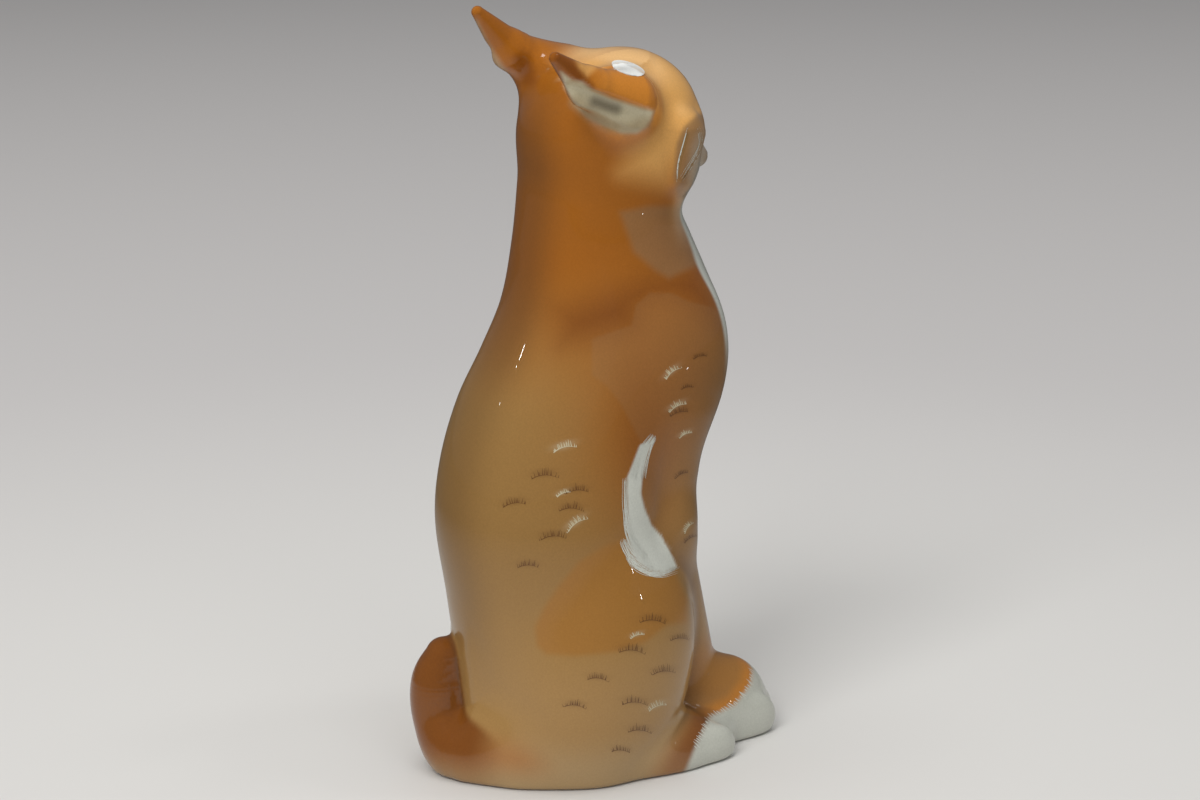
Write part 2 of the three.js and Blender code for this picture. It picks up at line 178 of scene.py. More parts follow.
# Areas of paint, as outlines and lines in the picture
STRIPE_OUTLINE = [
    (640, 445), (632, 466), (627, 478), (627, 495), (628, 512), (629, 534), (632, 550), (638, 562),
    (650, 571), (664, 573), (677, 567), (669, 550), (662, 537), (652, 526), (644, 507), (641, 493),
    (643, 472), (647, 455), (652, 441),
]
# The haunch patch: deeper ochre where the glaze shows no reflection, its crisp edge standing for the edge
# of a reflection
HAUNCH_PATCH = [
    (537, 646), (535, 627), (544, 608), (558, 587), (579, 562), (608, 544), (627, 538), (650, 573),
    (675, 571), (688, 600), (687, 622), (667, 625), (646, 642), (617, 652), (575, 656), (546, 654),
]
TOE_EDGE = [(744, 648), (753, 666), (750, 684), (735, 704), (710, 716), (702, 732), (694, 749)]
TOE_OUTLINE = TOE_EDGE + [(683, 776), (760, 800), (860, 790), (860, 640)]
# Painted reflections: pale sheens of the glaze on the neck and the shoulder, and the upper edge of the
# shoulder's one
NECK_REFLECTION = [
    (620, 212), (650, 206), (690, 206), (704, 262), (682, 272), (669, 278), (655, 270), (634, 252),
]
REFLECTION_EDGE = [(592, 339), (632, 325), (636, 305), (650, 293), (672, 293), (690, 302)]
SHOULDER_REFLECTION = REFLECTION_EDGE + [
    (712, 307), (730, 322), (730, 660), (690, 640), (690, 600), (677, 567), (640, 500), (640, 440),
    (621, 404), (607, 386), (592, 375),
]
HONEY_OUTLINE = [
    (540, 28), (640, 28), (720, 60), (712, 108), (690, 150), (664, 182), (624, 172), (640, 142), (652, 118),
    (650, 84), (600, 66), (560, 60),
]
EAR_OPENING = [
    (561, 72), (572, 80), (582, 82), (592, 90), (611, 98), (633, 105), (654, 111), (651, 120), (646, 127),
    (637, 133), (622, 133), (606, 127), (587, 117), (575, 105), (565, 88),
]
# Painted shade at the root of the left ear
LEFT_EAR_ROOT_SHADE = [(522, 60), (529, 78)]
LEFT_EAR_EDGE = [(474, 24), (484, 44), (496, 62), (508, 82)]
# Painted shadow under the upper rim of the right ear's opening
EAR_SHADE = [(595, 102), (606, 106), (616, 109)]
EAR_STRIP = [(559, 57), (570, 66), (581, 78), (590, 87)]
EAR_NOTCH = [(576, 60), (590, 60), (608, 63), (597, 68), (587, 77), (579, 69)]
EAR_LIP = [(576, 102), (591, 115), (609, 125), (627, 129), (645, 123)]
BAND_TOP = [(560, 345), (560, 310), (640, 286), (668, 279), (700, 268), (716, 300), (717, 322)]
DEEP_BAND = BAND_TOP + REFLECTION_EDGE[::-1]
RUFF_OUTLINE = [
    (698, 114), (684, 127), (677, 143), (675, 164), (674, 176), (678, 198), (720, 200), (720, 110),
]

# Airbrushed zones, and zones of painted light and shade: where each one fades in, from nothing to full
HEAD_HEIGHT = (NECK_HEIGHT, NECK_HEIGHT + 22)
CREAM_HEIGHT = (70, 20)
IVORY_HEIGHT = (18, 4)
ORANGE_HEIGHT = (92, 134)
FLANK_PUFF = dict(centre=(26, 2, 92), radii=(16, 18, 26))
ELBOW_PUFF = dict(centre=(24, 2, 88), radii=(8, 9, 20))
SHOULDER_PUFF = dict(centre=(23, -14, 102), radii=(12, 13, 18))
# Brown down the back: a darker stripe on the spine, and painted shade toward the far contour
SPINE_STRIPE_AND_SHADE = dict(across=(15, 2), back=(8, 20), height=(15, 50))
NAPE = dict(across=(13, 3), back=(5, 15), height=(96, 116))
NAPE_TOP = (178, 150)
# Painted top light: the crown is paler where it faces up
CROWN_TOP_LIGHT_SLOPE = (0.45, 0.9)
CROWN_FRONT = (14, -2)
FACE_FRONT = (-8, -16)

# The white bib is bounded by the angle that the chest turns away from the front, in degrees
BIB_ANGLE = (60, 52)
BIB_NARROWING = 5
BIB_NECK = (120, 140)
BIB_BOTTOM = (76, 94)
BIB_TOP = (158, 152)
BIB_ARCH = 0.04
WHITE_MUZZLE_MIDDLE = 153
WHITE_MUZZLE_STRETCH = (1.5, 1.1)
WHITE_MUZZLE_EDGE = (9.5, 7)
WHITE_MUZZLE_FRONT = (-16, -20)
WHITE_CHEEK = dict(across=(8, 12), back=(-10, -17), height=(161, 156))
RUFF_WHITE = (8, 24)

# Zones of the ears, along an ear from its root
EAR_GOLD = (18, 10)
EAR_RUST = (14, 22)
LEFT_EAR_GOLD = (4, 10)
PALE_POCKET_END = (22, 18)

# Zones of the tail, the feet and the stripe, across, to the front and in height
TAIL_ACROSS = (-14, -4)
TAIL_FOOT = (1, 10)
GLOW_TOP = (18, 8)
# The height where the painted shade in the tail's groove begins
TAIL_GROOVE_SHADE_BOTTOM = (14, 20)
FOOT_TOP = (34, 24)
HIND_PAW_FOOT = (-6, 8)
# Heights of the painted shade in the creases at the forelegs and the hind paws
LEG_CREASE_SHADE_TOP = (68, 50)
PAW_CREASE_SHADE_BOTTOM = (6, 16)
TOE_FRONT = (-40, -43)
TOE_TOP = (34, 31)
STRIPE_TOP = 100

# Brush strokes, in pixels where they are placed in the picture: x, y, tilt in degrees, size
DARK_TICKS = [
    (700, 356, -12, 0.6), (687, 387, -10, 0.5), (679, 412, -14, 0.8), (681, 474, -25, 0.6),
    (690, 538, -30, 0.6), (544, 475, -4, 1.1), (577, 490, -4, 1.0), (514, 503, -8, 1.0),
    (571, 508, 0, 1.0), (553, 536, -4, 1.1), (528, 565, 0, 0.9), (653, 620, 4, 1.1),
    (680, 638, 0, 0.8), (632, 650, 4, 1.1), (664, 671, -4, 1.0), (598, 678, 6, 0.9),
    (635, 702, 2, 1.1), (575, 705, 6, 0.9), (640, 730, 4, 1.0), (621, 750, 4, 0.8),
]
PALE_TICKS = [
    (672, 372, -38, 0.8), (677, 406, -26, 0.8), (685, 434, -24, 0.6), (688, 527, -50, 0.6),
    (564, 447, -14, 1.0), (563, 493, -20, 0.6), (576, 523, -34, 1.0), (637, 635, -16, 0.6),
    (657, 706, -20, 0.8),
]
STRIPE_WISPS = [
    [(625, 480), (625, 500), (627, 520), (633, 540), (645, 556)],
    [(625, 510), (626, 530), (633, 548), (647, 560)],
    [(625, 540), (631, 552), (640, 561), (652, 568)],
    [(622, 541), (627, 553), (635, 562), (646, 569)],
    [(628, 556), (634, 565), (645, 571), (660, 573)],
    [(636, 566), (648, 573), (662, 574), (676, 569)],
    [(652, 436), (644, 447), (638, 462), (634, 478)],
    [(655, 438), (650, 448), (646, 462), (643, 478)],
]
RUFF_WISPS = [
    [(699, 127), (700, 143), (693, 158), (682, 176)],
    [(703, 131), (704, 146), (696, 162), (684, 181)],
    [(689, 129), (684, 146), (679, 165), (678, 180)],
]
TOE_HAIR = (-3, -2.4)
TOE_HAIRS = 9
TOE_HAIR_LENGTHS = (0.4, 1.3)
TUFT_HAIRS = 13
TUFT_WIDTH = 23
TUFT_ARCH = 3
TUFT_FAN = 16
TUFT_LENGTH = 8
TUFT_LENGTHS = (0.4, 1)
TUFT_SHIFT = 0.1
TUFT_LEAN = 10
TUFT_SMUDGE = (11, 3.4)
HAIR_WIDTH = 0.09
STROKE_SECTIONS = 9
STROKE_PROUD = 0.03
STROKE_DEPTH = 0.15
SPOT_PROUD = 0.18
OVAL_RINGS = 9
OVAL_SPOKES = 40
EAR_SPOT = (628, 68.5)
EAR_SPOT_RADII = (17, 6)
EAR_SPOT_TILT = 18
LEFT_SPOT_SHIFT = np.array([0, 9, -3])
LEFT_SPOT_SIZE = 0.65

# Painted features of the face, across and up on the upright head
EYE_PLACE = (8.1, 161.7)
EYE_RIM_RADII = (3.7, 2.9)
IRIS_RADII = (2.7, 2.4)
PUPIL_RADII = (0.9, 1.8)
NOSE_PLACE = (0, 157.8)
NOSE_RADII = (3, 2)
WHISKER_DOTS = [(3, 154.6), (5, 154.8), (7, 154.6), (3.6, 152.9), (5.6, 152.9)]
WHISKER_RADII = (0.4, 0.4)
FACE_LINES = [
    [(2.2, 168), (2.6, 172), (2.4, 176)],
    [(5.2, 168), (6.2, 172), (6.4, 175)],
    [(12, 160), (14.5, 157), (16, 153)],
    [(10.5, 156.5), (12.5, 153), (13.2, 149.5)],
    [(0.2, 151.9), (3.4, 151.2), (6.2, 150.6)],
]
FACE_LINE_WIDTH = 0.35

# The glaze: a fine grain in the paint, and a slow wave in its gloss and surface
GLAZE = {
    "IOR": 1.5,
    "Specular IOR Level": 0.15,
    "Coat Weight": 0.7,
    "Coat Roughness": 0.03,
    "Coat IOR": 1.5,
}
GRAIN = {"Scale": 2200, "Detail": 2}
GRAIN_SHADE = {"From Min": 0.3, "From Max": 0.7, "To Min": 0.95, "To Max": 1.05}
WAVE = {"Scale": 60}
WAVE_ROUGHNESS = {"To Min": 0.28, "To Max": 0.42}
WAVE_BUMP = {"Strength": 0.12, "Distance": 0.0004}

# Stage: places and sizes in metres, power in watts
FLOOR_REACH = 6.0
FLOOR_FADE = {"From Min": 0.1, "From Max": 0.5}
FLOOR_SHINE_FADE = {"From Min": 0.06, "From Max": 0.3}
FLOOR_FINISH = {"Roughness": 0.6, "Specular IOR Level": 0.1}
WORLD_COLOUR = (0.97, 0.98, 1.0, 1)
WORLD_STRENGTH = 0.32
WORLD_SHINE = 0.12
LAMP_TARGET = (0, 0, 0.1)
LAMPS = [
    ("key", (-0.7, 1.35, 1.5), 0.9, 25, False),
    ("fill", (-1.6, 0.2, 0.8), 1.0, 3, False),
    ("ceiling", (0, 0.3, 3.6), 2.4, 48, False),
    ("glint_back", (0.52, 1.64, 1.12), 0.03, 0.15, True),
    ("glint_side", (-0.434, -0.29, 0.0455), 0.007, 0.006, True),
    ("glint_ear", (-0.56, -0.74, 1.95), 0.25, 2, True),
]


def srgb(red, green, blue):
    """A paint given as it looks, from 0 to 255, as linear light."""
    value = np.array([red, green, blue]) / 255
    return np.where(value <= 0.04045, value / 12.92, ((value + 0.055) / 1.055) ** 2.4)


CREAM = srgb(164, 127, 75)
TAN = srgb(144, 109, 60)
HONEY = srgb(218, 164, 92)
TOP_LIGHT_STRAW = srgb(240, 196, 138)
OCHRE = srgb(156, 105, 42)
GOLD = srgb(196, 124, 42)
ORANGE = srgb(156, 88, 10)
RUST = srgb(104, 50, 10)
WHITE = srgb(200, 202, 192)
BRIGHT_WHITE = srgb(236, 237, 233)
IVORY = srgb(190, 180, 150)
OLIVE = srgb(146, 126, 92)
# Grey for the painted shadow in the ear's opening
RIM_SHADOW_GREY = srgb(106, 98, 80)
# The toes' white, dimmed as painted shade
SHADED_WHITE = srgb(186, 187, 176)
# A pale tan for the painted reflections on the neck and shoulder, and for the ruff
SHEEN_AND_RUFF_TAN = srgb(140, 106, 70)
UMBER = srgb(98, 64, 34)
BROWN = srgb(70, 46, 26)
BLACK = srgb(30, 24, 22)
AMBER = srgb(205, 160, 48)
PINK = srgb(176, 112, 98)
FLOOR_NEAR = srgb(213, 211, 207)
FLOOR_FAR = srgb(201, 198, 196)
FLOOR_SHINE = srgb(86, 83, 78)


def unit(v):
    return v / np.maximum(np.linalg.norm(v, axis=-1, keepdims=True), 1e-9)


def fade(value, start, end):
    """Goes smoothly from 0 at start to 1 at end."""
    t = np.clip((value - start) / (end - start), 0, 1)
    return t * t * (3 - 2 * t)


# Fields: functions from points to the distance to a form's surface, negative inside

def rotation(axis, degrees):
    return np.array(Matrix.Rotation(np.radians(degrees), 3, axis))


def egg(centre, radii, tilt=0):
    """An egg-shaped mass, tilted about the X axis."""
    centre, radii = np.array(centre, float), np.array(radii, float)
    tilted = rotation("X", tilt)

    def field(p):
        q = (p - centre) @ tilted / radii
        reach = np.linalg.norm(q, axis=1)
        slope = np.linalg.norm(q / radii, axis=1)
        return reach * (reach - 1) / np.maximum(slope, 1e-9)

    return field


def taper(start, end, start_radius, end_radius):
    """A round bar with a radius at each end."""
    start, end = np.array(start, float), np.array(end, float)
    line = end - start

    def field(p):
        along = np.clip((p - start) @ line / (line @ line), 0, 1)
        radius = start_radius + (end_radius - start_radius) * along
        return np.linalg.norm(p - start - along[:, None] * line, axis=1) - radius

    return field


def curve(t, start, end, start_slope, end_slope):
    """A smooth way from start to end, as t goes from 0 to 1."""
    s = 1 - t
    ends = (1 + 2 * t) * s * s * start + t * t * (3 - 2 * t) * end
    return ends + t * s * s * start_slope - t * t * s * end_slope


def spline(points, count):
    """Evenly stepped points of a smooth curve through the given ones."""
    points = np.array(points, float)
    slope = np.gradient(points, axis=0)
    t = np.linspace(0, len(points) - 1, count)
    i = np.minimum(t.astype(int), len(points) - 2)
    return curve((t - i)[:, None], points[i], points[i + 1], slope[i], slope[i + 1])


def horn(points, steps):
    """A bar that follows a curve, with its radius spread along the way."""
    line = spline(points, steps + 1)
    bars = [taper(a[:3], b[:3], a[3], b[3]) for a, b in zip(line[:-1], line[1:])]
    return lambda p: np.min([bar(p) for bar in bars], axis=0)


def loft(sections):
    """A smooth loft through oval sections that are stacked on the Z axis."""
    sections = np.array(sections, float)
    height = sections[:, 0]
    before = np.vstack([sections[:1], sections[:-1]])
    after = np.vstack([sections[1:], sections[-1:]])
    slope = (after - before)[:, 1:] / (after - before)[:, :1]
    value = sections[:, 1:]

    def field(p):
        i = np.clip(np.searchsorted(height, p[:, 2]) - 1, 0, len(height) - 2)
        rise = (height[i + 1] - height[i])[:, None]
        t = np.clip((p[:, 2:] - height[i][:, None]) / rise, 0, 1)
        front, back, half = curve(t, value[i], value[i + 1], rise * slope[i], rise * slope[i + 1]).T
        y = p[:, 1] - (front + back) / 2
        share = np.hypot(p[:, 0] / half, 2 * y / (back - front))
        side = np.hypot(p[:, 0], y) * (1 - 1 / np.maximum(share, 1e-6))
        return np.maximum(side, np.maximum(p[:, 2] - height[-1], height[0] - p[:, 2]))

    return field


def join(a, b, width):
    """Joins two distances with a fillet of the given width."""
    overlap = np.maximum(width - np.abs(a - b), 0)
    return np.minimum(a, b) - overlap * overlap / (4 * width)


def blend(width, *fields):
    def field(p):
        distance = fields[0](p)
        for other in fields[1:]:
            distance = join(distance, other(p), width)
        return distance

    return field


def carve(width, form, hollow):
    """Takes one field out of another and rounds the edge."""
    return lambda p: -join(-form(p), hollow(p), width)


def to_left(p):
    """Points brought over to the left side."""
    return np.column_stack([np.abs(p[:, 0]), p[:, 1:]])


def both_sides(field):
    return lambda p: field(to_left(p))


HEAD_TURN = rotation("Z", HEAD_YAW) @ rotation("Y", -HEAD_ROLL)


def to_head(p):
    """Points of the figure in the frame of an upright, straight head."""
    return (p - HEAD_PIVOT) @ HEAD_TURN + HEAD_PIVOT


def from_head(p):
    return (p - HEAD_PIVOT) @ HEAD_TURN.T + HEAD_PIVOT


def within(space, field):
    """A field that is only worked out inside a box, because its form ends well before the box does."""
    low, high = np.array(space, float)

    def boxed(p):
        distance = np.full(len(p), FAR)
        near = np.all((p > low) & (p < high), axis=1)
        if near.any():
            distance[near] = field(p[near])
        return distance

    return boxed


def toes(count, pitch, reach, centre, radii):
    """A row of toes across a paw, the middle ones further forward."""
    across = np.arange(count) - (count - 1) / 2
    forward = np.where(np.abs(across) < 1, reach, 0)
    return [egg((centre[0] + a * pitch, centre[1] - f, centre[2]), radii) for a, f in zip(across, forward)]


def ear_axes(ends):
    """The directions along an ear, out of its opening and under it."""
    along = unit(ends[1] - ends[0])
    out = unit(EAR_OUTWARD - EAR_OUTWARD @ along * along)
    return np.column_stack([along, out, np.cross(along, out)])


def in_ear(p):
    """Points as lengths along, out of and under the ear on their side."""
    head = to_head(p)
    left, right = [(to_left(head) - ends[0]) @ ear_axes(ends) for ends in (EAR_LEFT, EAR_RIGHT)]
    return np.where(head[:, :1] > 0, left, right)


pocket = taper(EAR_POCKET_BASE, EAR_POCKET_TIP, *EAR_POCKET_RADII)


def make_ear(ends):
    length = np.linalg.norm(ends[1] - ends[0])
    axes = ear_axes(ends)
    base, middle, tip = EAR_RADII
    bend = (length * EAR_MIDDLE_SHARE, EAR_MIDDLE_OUT, EAR_BELLY)
    end = (length - tip, 0, EAR_BELLY / 2)
    shell = blend(EAR_SHELL_BLEND, taper(EAR_ROOT, bend, base, middle), taper(bend, end, middle, tip))
    hollowed = carve(EAR_POCKET_EDGE, shell, pocket)
    return lambda p: hollowed((p - ends[0]) @ axes)


# The forms of the castings

trunk = blend(TRUNK_BLEND, loft(TRUNK_SECTIONS), both_sides(egg(**HAUNCH)), both_sides(egg(**SHOULDER)))
upper_leg = taper(LEG_TOP, LEG_ELBOW, *LEG_RADII[:2])
lower_leg = taper(LEG_ELBOW, LEG_FOOT, *LEG_RADII[1:])
leg_and_paw = blend(PAW_BLEND, blend(ELBOW_BLEND, upper_leg, lower_leg), egg(**FORE_PAW))
foreleg = both_sides(blend(TOE_BLEND, leg_and_paw, *toes(**FORE_TOES)))
hind_paw = both_sides(blend(TOE_BLEND, egg(**HIND_PAW), *toes(**HIND_TOES)))
tail = within(TAIL_SPACE, horn(TAIL_LINE, TAIL_STEPS))


def lock(tip, radius):
    x, y, z = tip
    root = (x * RUFF_ROOT_SHARE, y - RUFF_LEAN, z + RUFF_LENGTH)
    return both_sides(taper(root, tip, radius, RUFF_TIP_RADIUS))


ruff = [lock(tip, radius) for tip, radius in RUFF_LOCKS]
masses = [egg(**SKULL), egg(**FOREHEAD), both_sides(egg(**CHEEK)), egg(**MUZZLE), egg(**CHIN)]
face = blend(FACE_BLEND, *masses)
plain_head = blend(FEATURE_BLEND, face, both_sides(egg(**BROW)), egg(**NOSE), *ruff)
with_pads = blend(PAD_BLEND, plain_head, both_sides(egg(**WHISKER_PAD)))
with_sockets = carve(SOCKET_EDGE, with_pads, both_sides(egg(**EYE_SOCKET)))
with_eyes = blend(LID_BLEND, with_sockets, both_sides(egg(**EYE_BALL)))
mouth = [both_sides(taper(*line, MOUTH_RADIUS, MOUTH_RADIUS)) for line in MOUTH_LINES]
head_form = carve(GROOVE_EDGE, with_eyes, blend(GROOVE_EDGE, both_sides(egg(**NOSTRIL)), *mouth))
left_ear = make_ear(EAR_LEFT)
right_ear = make_ear(EAR_RIGHT)


def ear_form(p):
    return np.where(p[:, 0] > 0, left_ear(to_left(p)), right_ear(to_left(p)))


skull = within(HEAD_SPACE, lambda p: head_form(to_head(p)))
ear = within(HEAD_SPACE, lambda p: ear_form(to_head(p)))

stem = blend(NECK_BLEND, trunk, skull)
with_legs = blend(LEG_BLEND, stem, foreleg)
with_paws = blend(PAW_BLEND, with_legs, hind_paw)


def with_tail(p):
    """The tail is set off from the rump at its tip and runs into it at its root."""
    width = TAIL_BLEND + (TAIL_ROOT_BLEND - TAIL_BLEND) * fade(p[:, 0], *TAIL_ROOT_ACROSS)
    return join(with_paws(p), tail(p), width)


whole = blend(EAR_BLEND, with_tail, ear)


def vent(p):
    return np.maximum(np.hypot(p[:, 0], p[:, 1] - VENT_Y) - VENT_RADIUS, p[:, 2] - VENT_DEPTH)


standing = carve(FOOT_EDGE, whole, lambda p: p[:, 2])
figure = carve(FOOT_EDGE / 2, standing, vent)


# The skin

def gradient(field, p, reach=0.04):
    steps = np.eye(3) * reach
    return np.column_stack([field(p + step) - field(p - step) for step in steps]) / (2 * reach)


def settle(field, p, limit, rounds=3):
    """Moves points that are near a field's surface onto it."""
    for _ in range(rounds):
        slope = gradient(field, p)
        step = np.clip(field(p), -limit, limit) / np.maximum((slope * slope).sum(1), 0.25)
        p = p - slope * step[:, None]
    return p


def sample(field, low, high, cell):
    """The field on a grid of blocks, fine near the surface and one value to a block elsewhere."""
    side = SKIN_BLOCK * cell
    count = np.ceil((high - low) / side).astype(int)
    block = np.stack(np.meshgrid(*map(np.arange, count), indexing="ij"), -1).reshape(-1, 3)
    middle = field(low + (block + 0.5) * side)
    value = np.repeat(middle[:, None], SKIN_BLOCK**3, axis=1)
    near = np.flatnonzero(np.abs(middle) < 2 * side)
    inner = np.stack(np.meshgrid(*[np.arange(SKIN_BLOCK)] * 3, indexing="ij"), -1).reshape(-1, 3)
    for some in np.array_split(near, max(1, len(near) // SKIN_BATCH)):
        points = low + (block[some][:, None] * SKIN_BLOCK + inner) * cell
        value[some] = field(points.reshape(-1, 3)).reshape(len(some), -1)
    value = value.reshape(*count, *[SKIN_BLOCK] * 3).transpose(0, 3, 1, 4, 2, 5)
    return value.reshape(count * SKIN_BLOCK)


def skin(field, space, cell):
    """A closed skin of four-sided faces over a field."""
    low, high = np.array(space, float)
    value = sample(field, low, high, cell)
    cells = np.array(value.shape) - 1
    total = np.zeros((cells.prod(), 3))
    hits = np.zeros(cells.prod())
    rings = []
    for axis in range(3):
        near = np.delete(value, -1, axis)
        far = np.delete(value, 0, axis)
        at = np.argwhere((near < 0) != (far < 0))
        a, b = near[tuple(at.T)], far[tuple(at.T)]
        crossing = at.astype(float)
        crossing[:, axis] += a / (a - b)
        u, v = np.eye(3, dtype=int)[[(axis + 1) % 3, (axis + 2) % 3]]
        around = [np.ravel_multi_index((at - shift).T, cells) for shift in (u + v, v, 0 * u, u)]
        ring = np.stack(around, 1)
        for key in ring.T:
            hits += np.bincount(key, minlength=len(hits))
            for n in range(3):
                total[:, n] += np.bincount(key, crossing[:, n], len(hits))
        rings.append(np.where((a < 0)[:, None], ring, ring[:, ::-1]))
    used = np.flatnonzero(hits)
    points = low + total[used] / hits[used][:, None] * cell
    place = np.zeros(len(hits), int)
    place[used] = np.arange(len(used))
    return settle(field, points, cell), place[np.concatenate(rings)]


points, faces = skin(figure, SKIN_SPACE, SKIN_CELL)


# Castings: each face of the skin belongs to the one that it is nearest to

def seam_ear(p):
    return ear(p) - stem(p)


def seam_leg(p):
    return foreleg(p) - stem(p)


def seam_paw(p):
    return hind_paw(p) - with_legs(p)


def seam_tail(p):
    return tail(p) - stem(p)


def seam_neck(p):
    return NECK_HEIGHT - p[:, 2]


CASTINGS = [
    ("body_shell", "tan_glaze"),
    ("head_shell", "orange_glaze"),
    ("ear_right", "orange_glaze"),
    ("ear_left", "orange_glaze"),
    ("foreleg_right", "tan_glaze"),
    ("foreleg_left", "tan_glaze"),
    ("hind_paw_right", "white_glaze"),
    ("hind_paw_left", "white_glaze"),
    ("tail", "rust_glaze"),
]
BODY, HEAD, EAR, LEG, PAW, TAIL = 0, 1, 2, 4, 6, 8
SEAMS = [(PAW, seam_paw), (LEG, seam_leg), (TAIL, seam_tail), (EAR, seam_ear), (HEAD, seam_neck)]


def kind_of(p):
    """The casting that each point belongs to, with left and right taken together."""
    kind = np.full(len(p), BODY)
    for casting, seam in reversed(SEAMS):
        kind[seam(p) < 0] = casting
    return kind


def casting_of(p):
    kind = kind_of(p)
    paired = (kind == EAR) | (kind == LEG) | (kind == PAW)
    return kind + (paired & (p[:, 0] > 0))


label = casting_of(points[faces].mean(1))


def smooth_seams(points, faces, label):
    """Slides the points between two castings along the skin until they lie on the seam."""
    lowest = np.full(len(points), len(CASTINGS))
    highest = np.zeros(len(points), int)
    np.minimum.at(lowest, faces, label[:, None])
    np.maximum.at(highest, faces, label[:, None])
    moved = points.copy()
    waiting = lowest != highest
    for casting, seam in SEAMS:
        members = [casting, casting + 1] if casting in (EAR, LEG, PAW) else [casting]
        edge = np.flatnonzero(waiting & (np.isin(lowest, members) | np.isin(highest, members)))
        waiting[edge] = False
        p = points[edge]
        for _ in range(3):
            normal = unit(gradient(figure, p))
            slope = gradient(seam, p)
            slope -= (slope * normal).sum(1)[:, None] * normal
            step = seam(p) / np.maximum((slope * slope).sum(1), 0.1)
            p = settle(figure, p - slope * np.clip(step, -SEAM_STEP, SEAM_STEP)[:, None], SKIN_CELL, 1)
        near = np.linalg.norm(p - points[edge], axis=1) < SKIN_CELL
        moved[edge[near]] = p[near]
    return moved


points = smooth_seams(points, faces, label)
normals = unit(gradient(figure, points))


# The photographed view, which also places the brushwork

def aim():
    azimuth = np.radians(CAMERA_AZIMUTH)
    back = np.array([np.sin(azimuth), -np.cos(azimuth), 0])
    right = np.array([np.cos(azimuth), np.sin(azimuth), 0])
    up = np.array([0, 0, 1.0])
    drop = np.arctan2(CAMERA_HEIGHT, CAMERA_DISTANCE)
    pitch = drop - np.arctan((ORIGIN_PIXEL[1] - IMAGE[1] / 2) / FOCAL)
    forward = -back * np.cos(pitch) - up * np.sin(pitch)
    top = up * np.cos(pitch) - back * np.sin(pitch)
    eye = back * CAMERA_DISTANCE + up * CAMERA_HEIGHT
    eye = eye + right * (IMAGE[0] / 2 - ORIGIN_PIXEL[0]) / FOCAL * -(eye @ forward)
    return eye, np.stack([right, top, -forward])


EYE, VIEW_AXES = aim()


def project(p):
    """Points as pixels of the picture."""
    x, y, z = ((p - EYE) @ VIEW_AXES.T).T
    return np.column_stack([IMAGE[0] / 2 - FOCAL * x / z, IMAGE[1] / 2 + FOCAL * y / z])


def march(start, ray):
    """The points of the skin that are met on the way from the given points along a ray."""
    p = start
    for _ in range(MARCH_ROUNDS):
        p = p + ray * np.clip(figure(p), -MARCH_STEP, MARCH_STEP)[:, None] * MARCH_SHARE
    return p


def on_view(pixels):
    """The points of the skin that the pixels show."""
    pixels = np.array(pixels, float)
    across = (pixels[..., 0] - IMAGE[0] / 2) / FOCAL
    up = (IMAGE[1] / 2 - pixels[..., 1]) / FOCAL
    ray = unit(np.stack([across, up, -np.ones_like(up)], -1) @ VIEW_AXES).reshape(-1, 3)
    return march(EYE + ray * (CAMERA_DISTANCE - 2 * FAR), ray).reshape(*pixels.shape[:-1], 3)


def on_face(places):
    """The points of the skin in front of the given places, across and up, on the upright head."""
    places = np.array(places, float)
    across, up = places.reshape(-1, 2).T
    start = from_head(np.column_stack([across, np.full(len(up), -FAR), up]))
    ray = HEAD_TURN @ np.array([0, 1.0, 0])
    return march(start, ray).reshape(*places.shape[:-1], 3)


def mirrored(p):
    """The same points on the other side, across the head's own middle plane where they are on the head."""
    return np.where(p[..., 2:] > NECK_HEIGHT, from_head(to_head(p) * MIRROR), p * MIRROR)


def shown_side(p):
    """Points brought over to the right side, which the picture shows."""
    side = np.where(p[:, 2] > NECK_HEIGHT, to_head(p)[:, 0], p[:, 0])
    return np.where(side[:, None] > 0, mirrored(p), p)


def add_object(name, data):
    added = bpy.data.objects.new(name, data)
    bpy.context.scene.collection.objects.link(added)
    return added


def make_camera():
    camera = add_object("camera", bpy.data.cameras.new("camera"))
    camera.data.sensor_fit = "HORIZONTAL"
    camera.data.sensor_width = SENSOR_WIDTH
    camera.data.lens = FOCAL / IMAGE[0] * SENSOR_WIDTH
    camera.matrix_world = Matrix.Translation(EYE * MM) @ Matrix(VIEW_AXES.T).to_4x4()
    bpy.context.scene.camera = camera


make_camera()


# Airbrushed paint

def turning(degrees):
    """Turns rows of pixel steps clockwise in the picture."""
    c, s = np.cos(np.radians(degrees)), np.sin(np.radians(degrees))
    return np.array([[c, s], [-s, c]])


def puff(p, centre, radii):
    """An airbrush puff on both sides: 1 in the middle, fading out over the radii."""
    return np.exp(-(((to_left(p) - centre) / radii) ** 2).sum(1))


def zone(p, across, back, height):
    """1 in a zone on both sides, fading in over the spans across, to the back and in height."""
    x, y, z = p.T
    return fade(np.abs(x), *across) * fade(y, *back) * fade(z, *height)


def from_line(pixels, line):
    """Distance in pixels to a line through the given ones."""
    line = np.array(line, float)
    distance = np.full(len(pixels), np.inf)
    for a, b in zip(line[:-1], line[1:]):
        t = np.clip((pixels - a) @ (b - a) / ((b - a) @ (b - a)), 0, 1)
        distance = np.minimum(distance, np.linalg.norm(pixels - a - t[:, None] * (b - a), axis=1))
    return distance


def inside(pixels, outline):
    """Signed distance in pixels to a closed outline, positive inside."""
    closed = np.array(outline + outline[:1], float)
    odd = np.zeros(len(pixels), bool)
    for a, b in zip(closed[:-1], closed[1:]):
        crosses = (a[1] > pixels[:, 1]) != (b[1] > pixels[:, 1])
        across = a[0] + (pixels[:, 1] - a[1]) * (b[0] - a[0]) / ((b[1] - a[1]) or 1)
        odd ^= crosses & (pixels[:, 0] < across)
    distance = from_line(pixels, closed)
    return np.where(odd, distance, -distance)


def smudge(pixels, x, y, tilt, size):
    """The soft smudge of paint under one tick of fur."""
    across, up = ((pixels - (x, y)) @ turning(tilt).T / size).T
    return np.exp(-((across / TUFT_SMUDGE[0]) ** 2) - (up / TUFT_SMUDGE[1] + 0.5) ** 2)


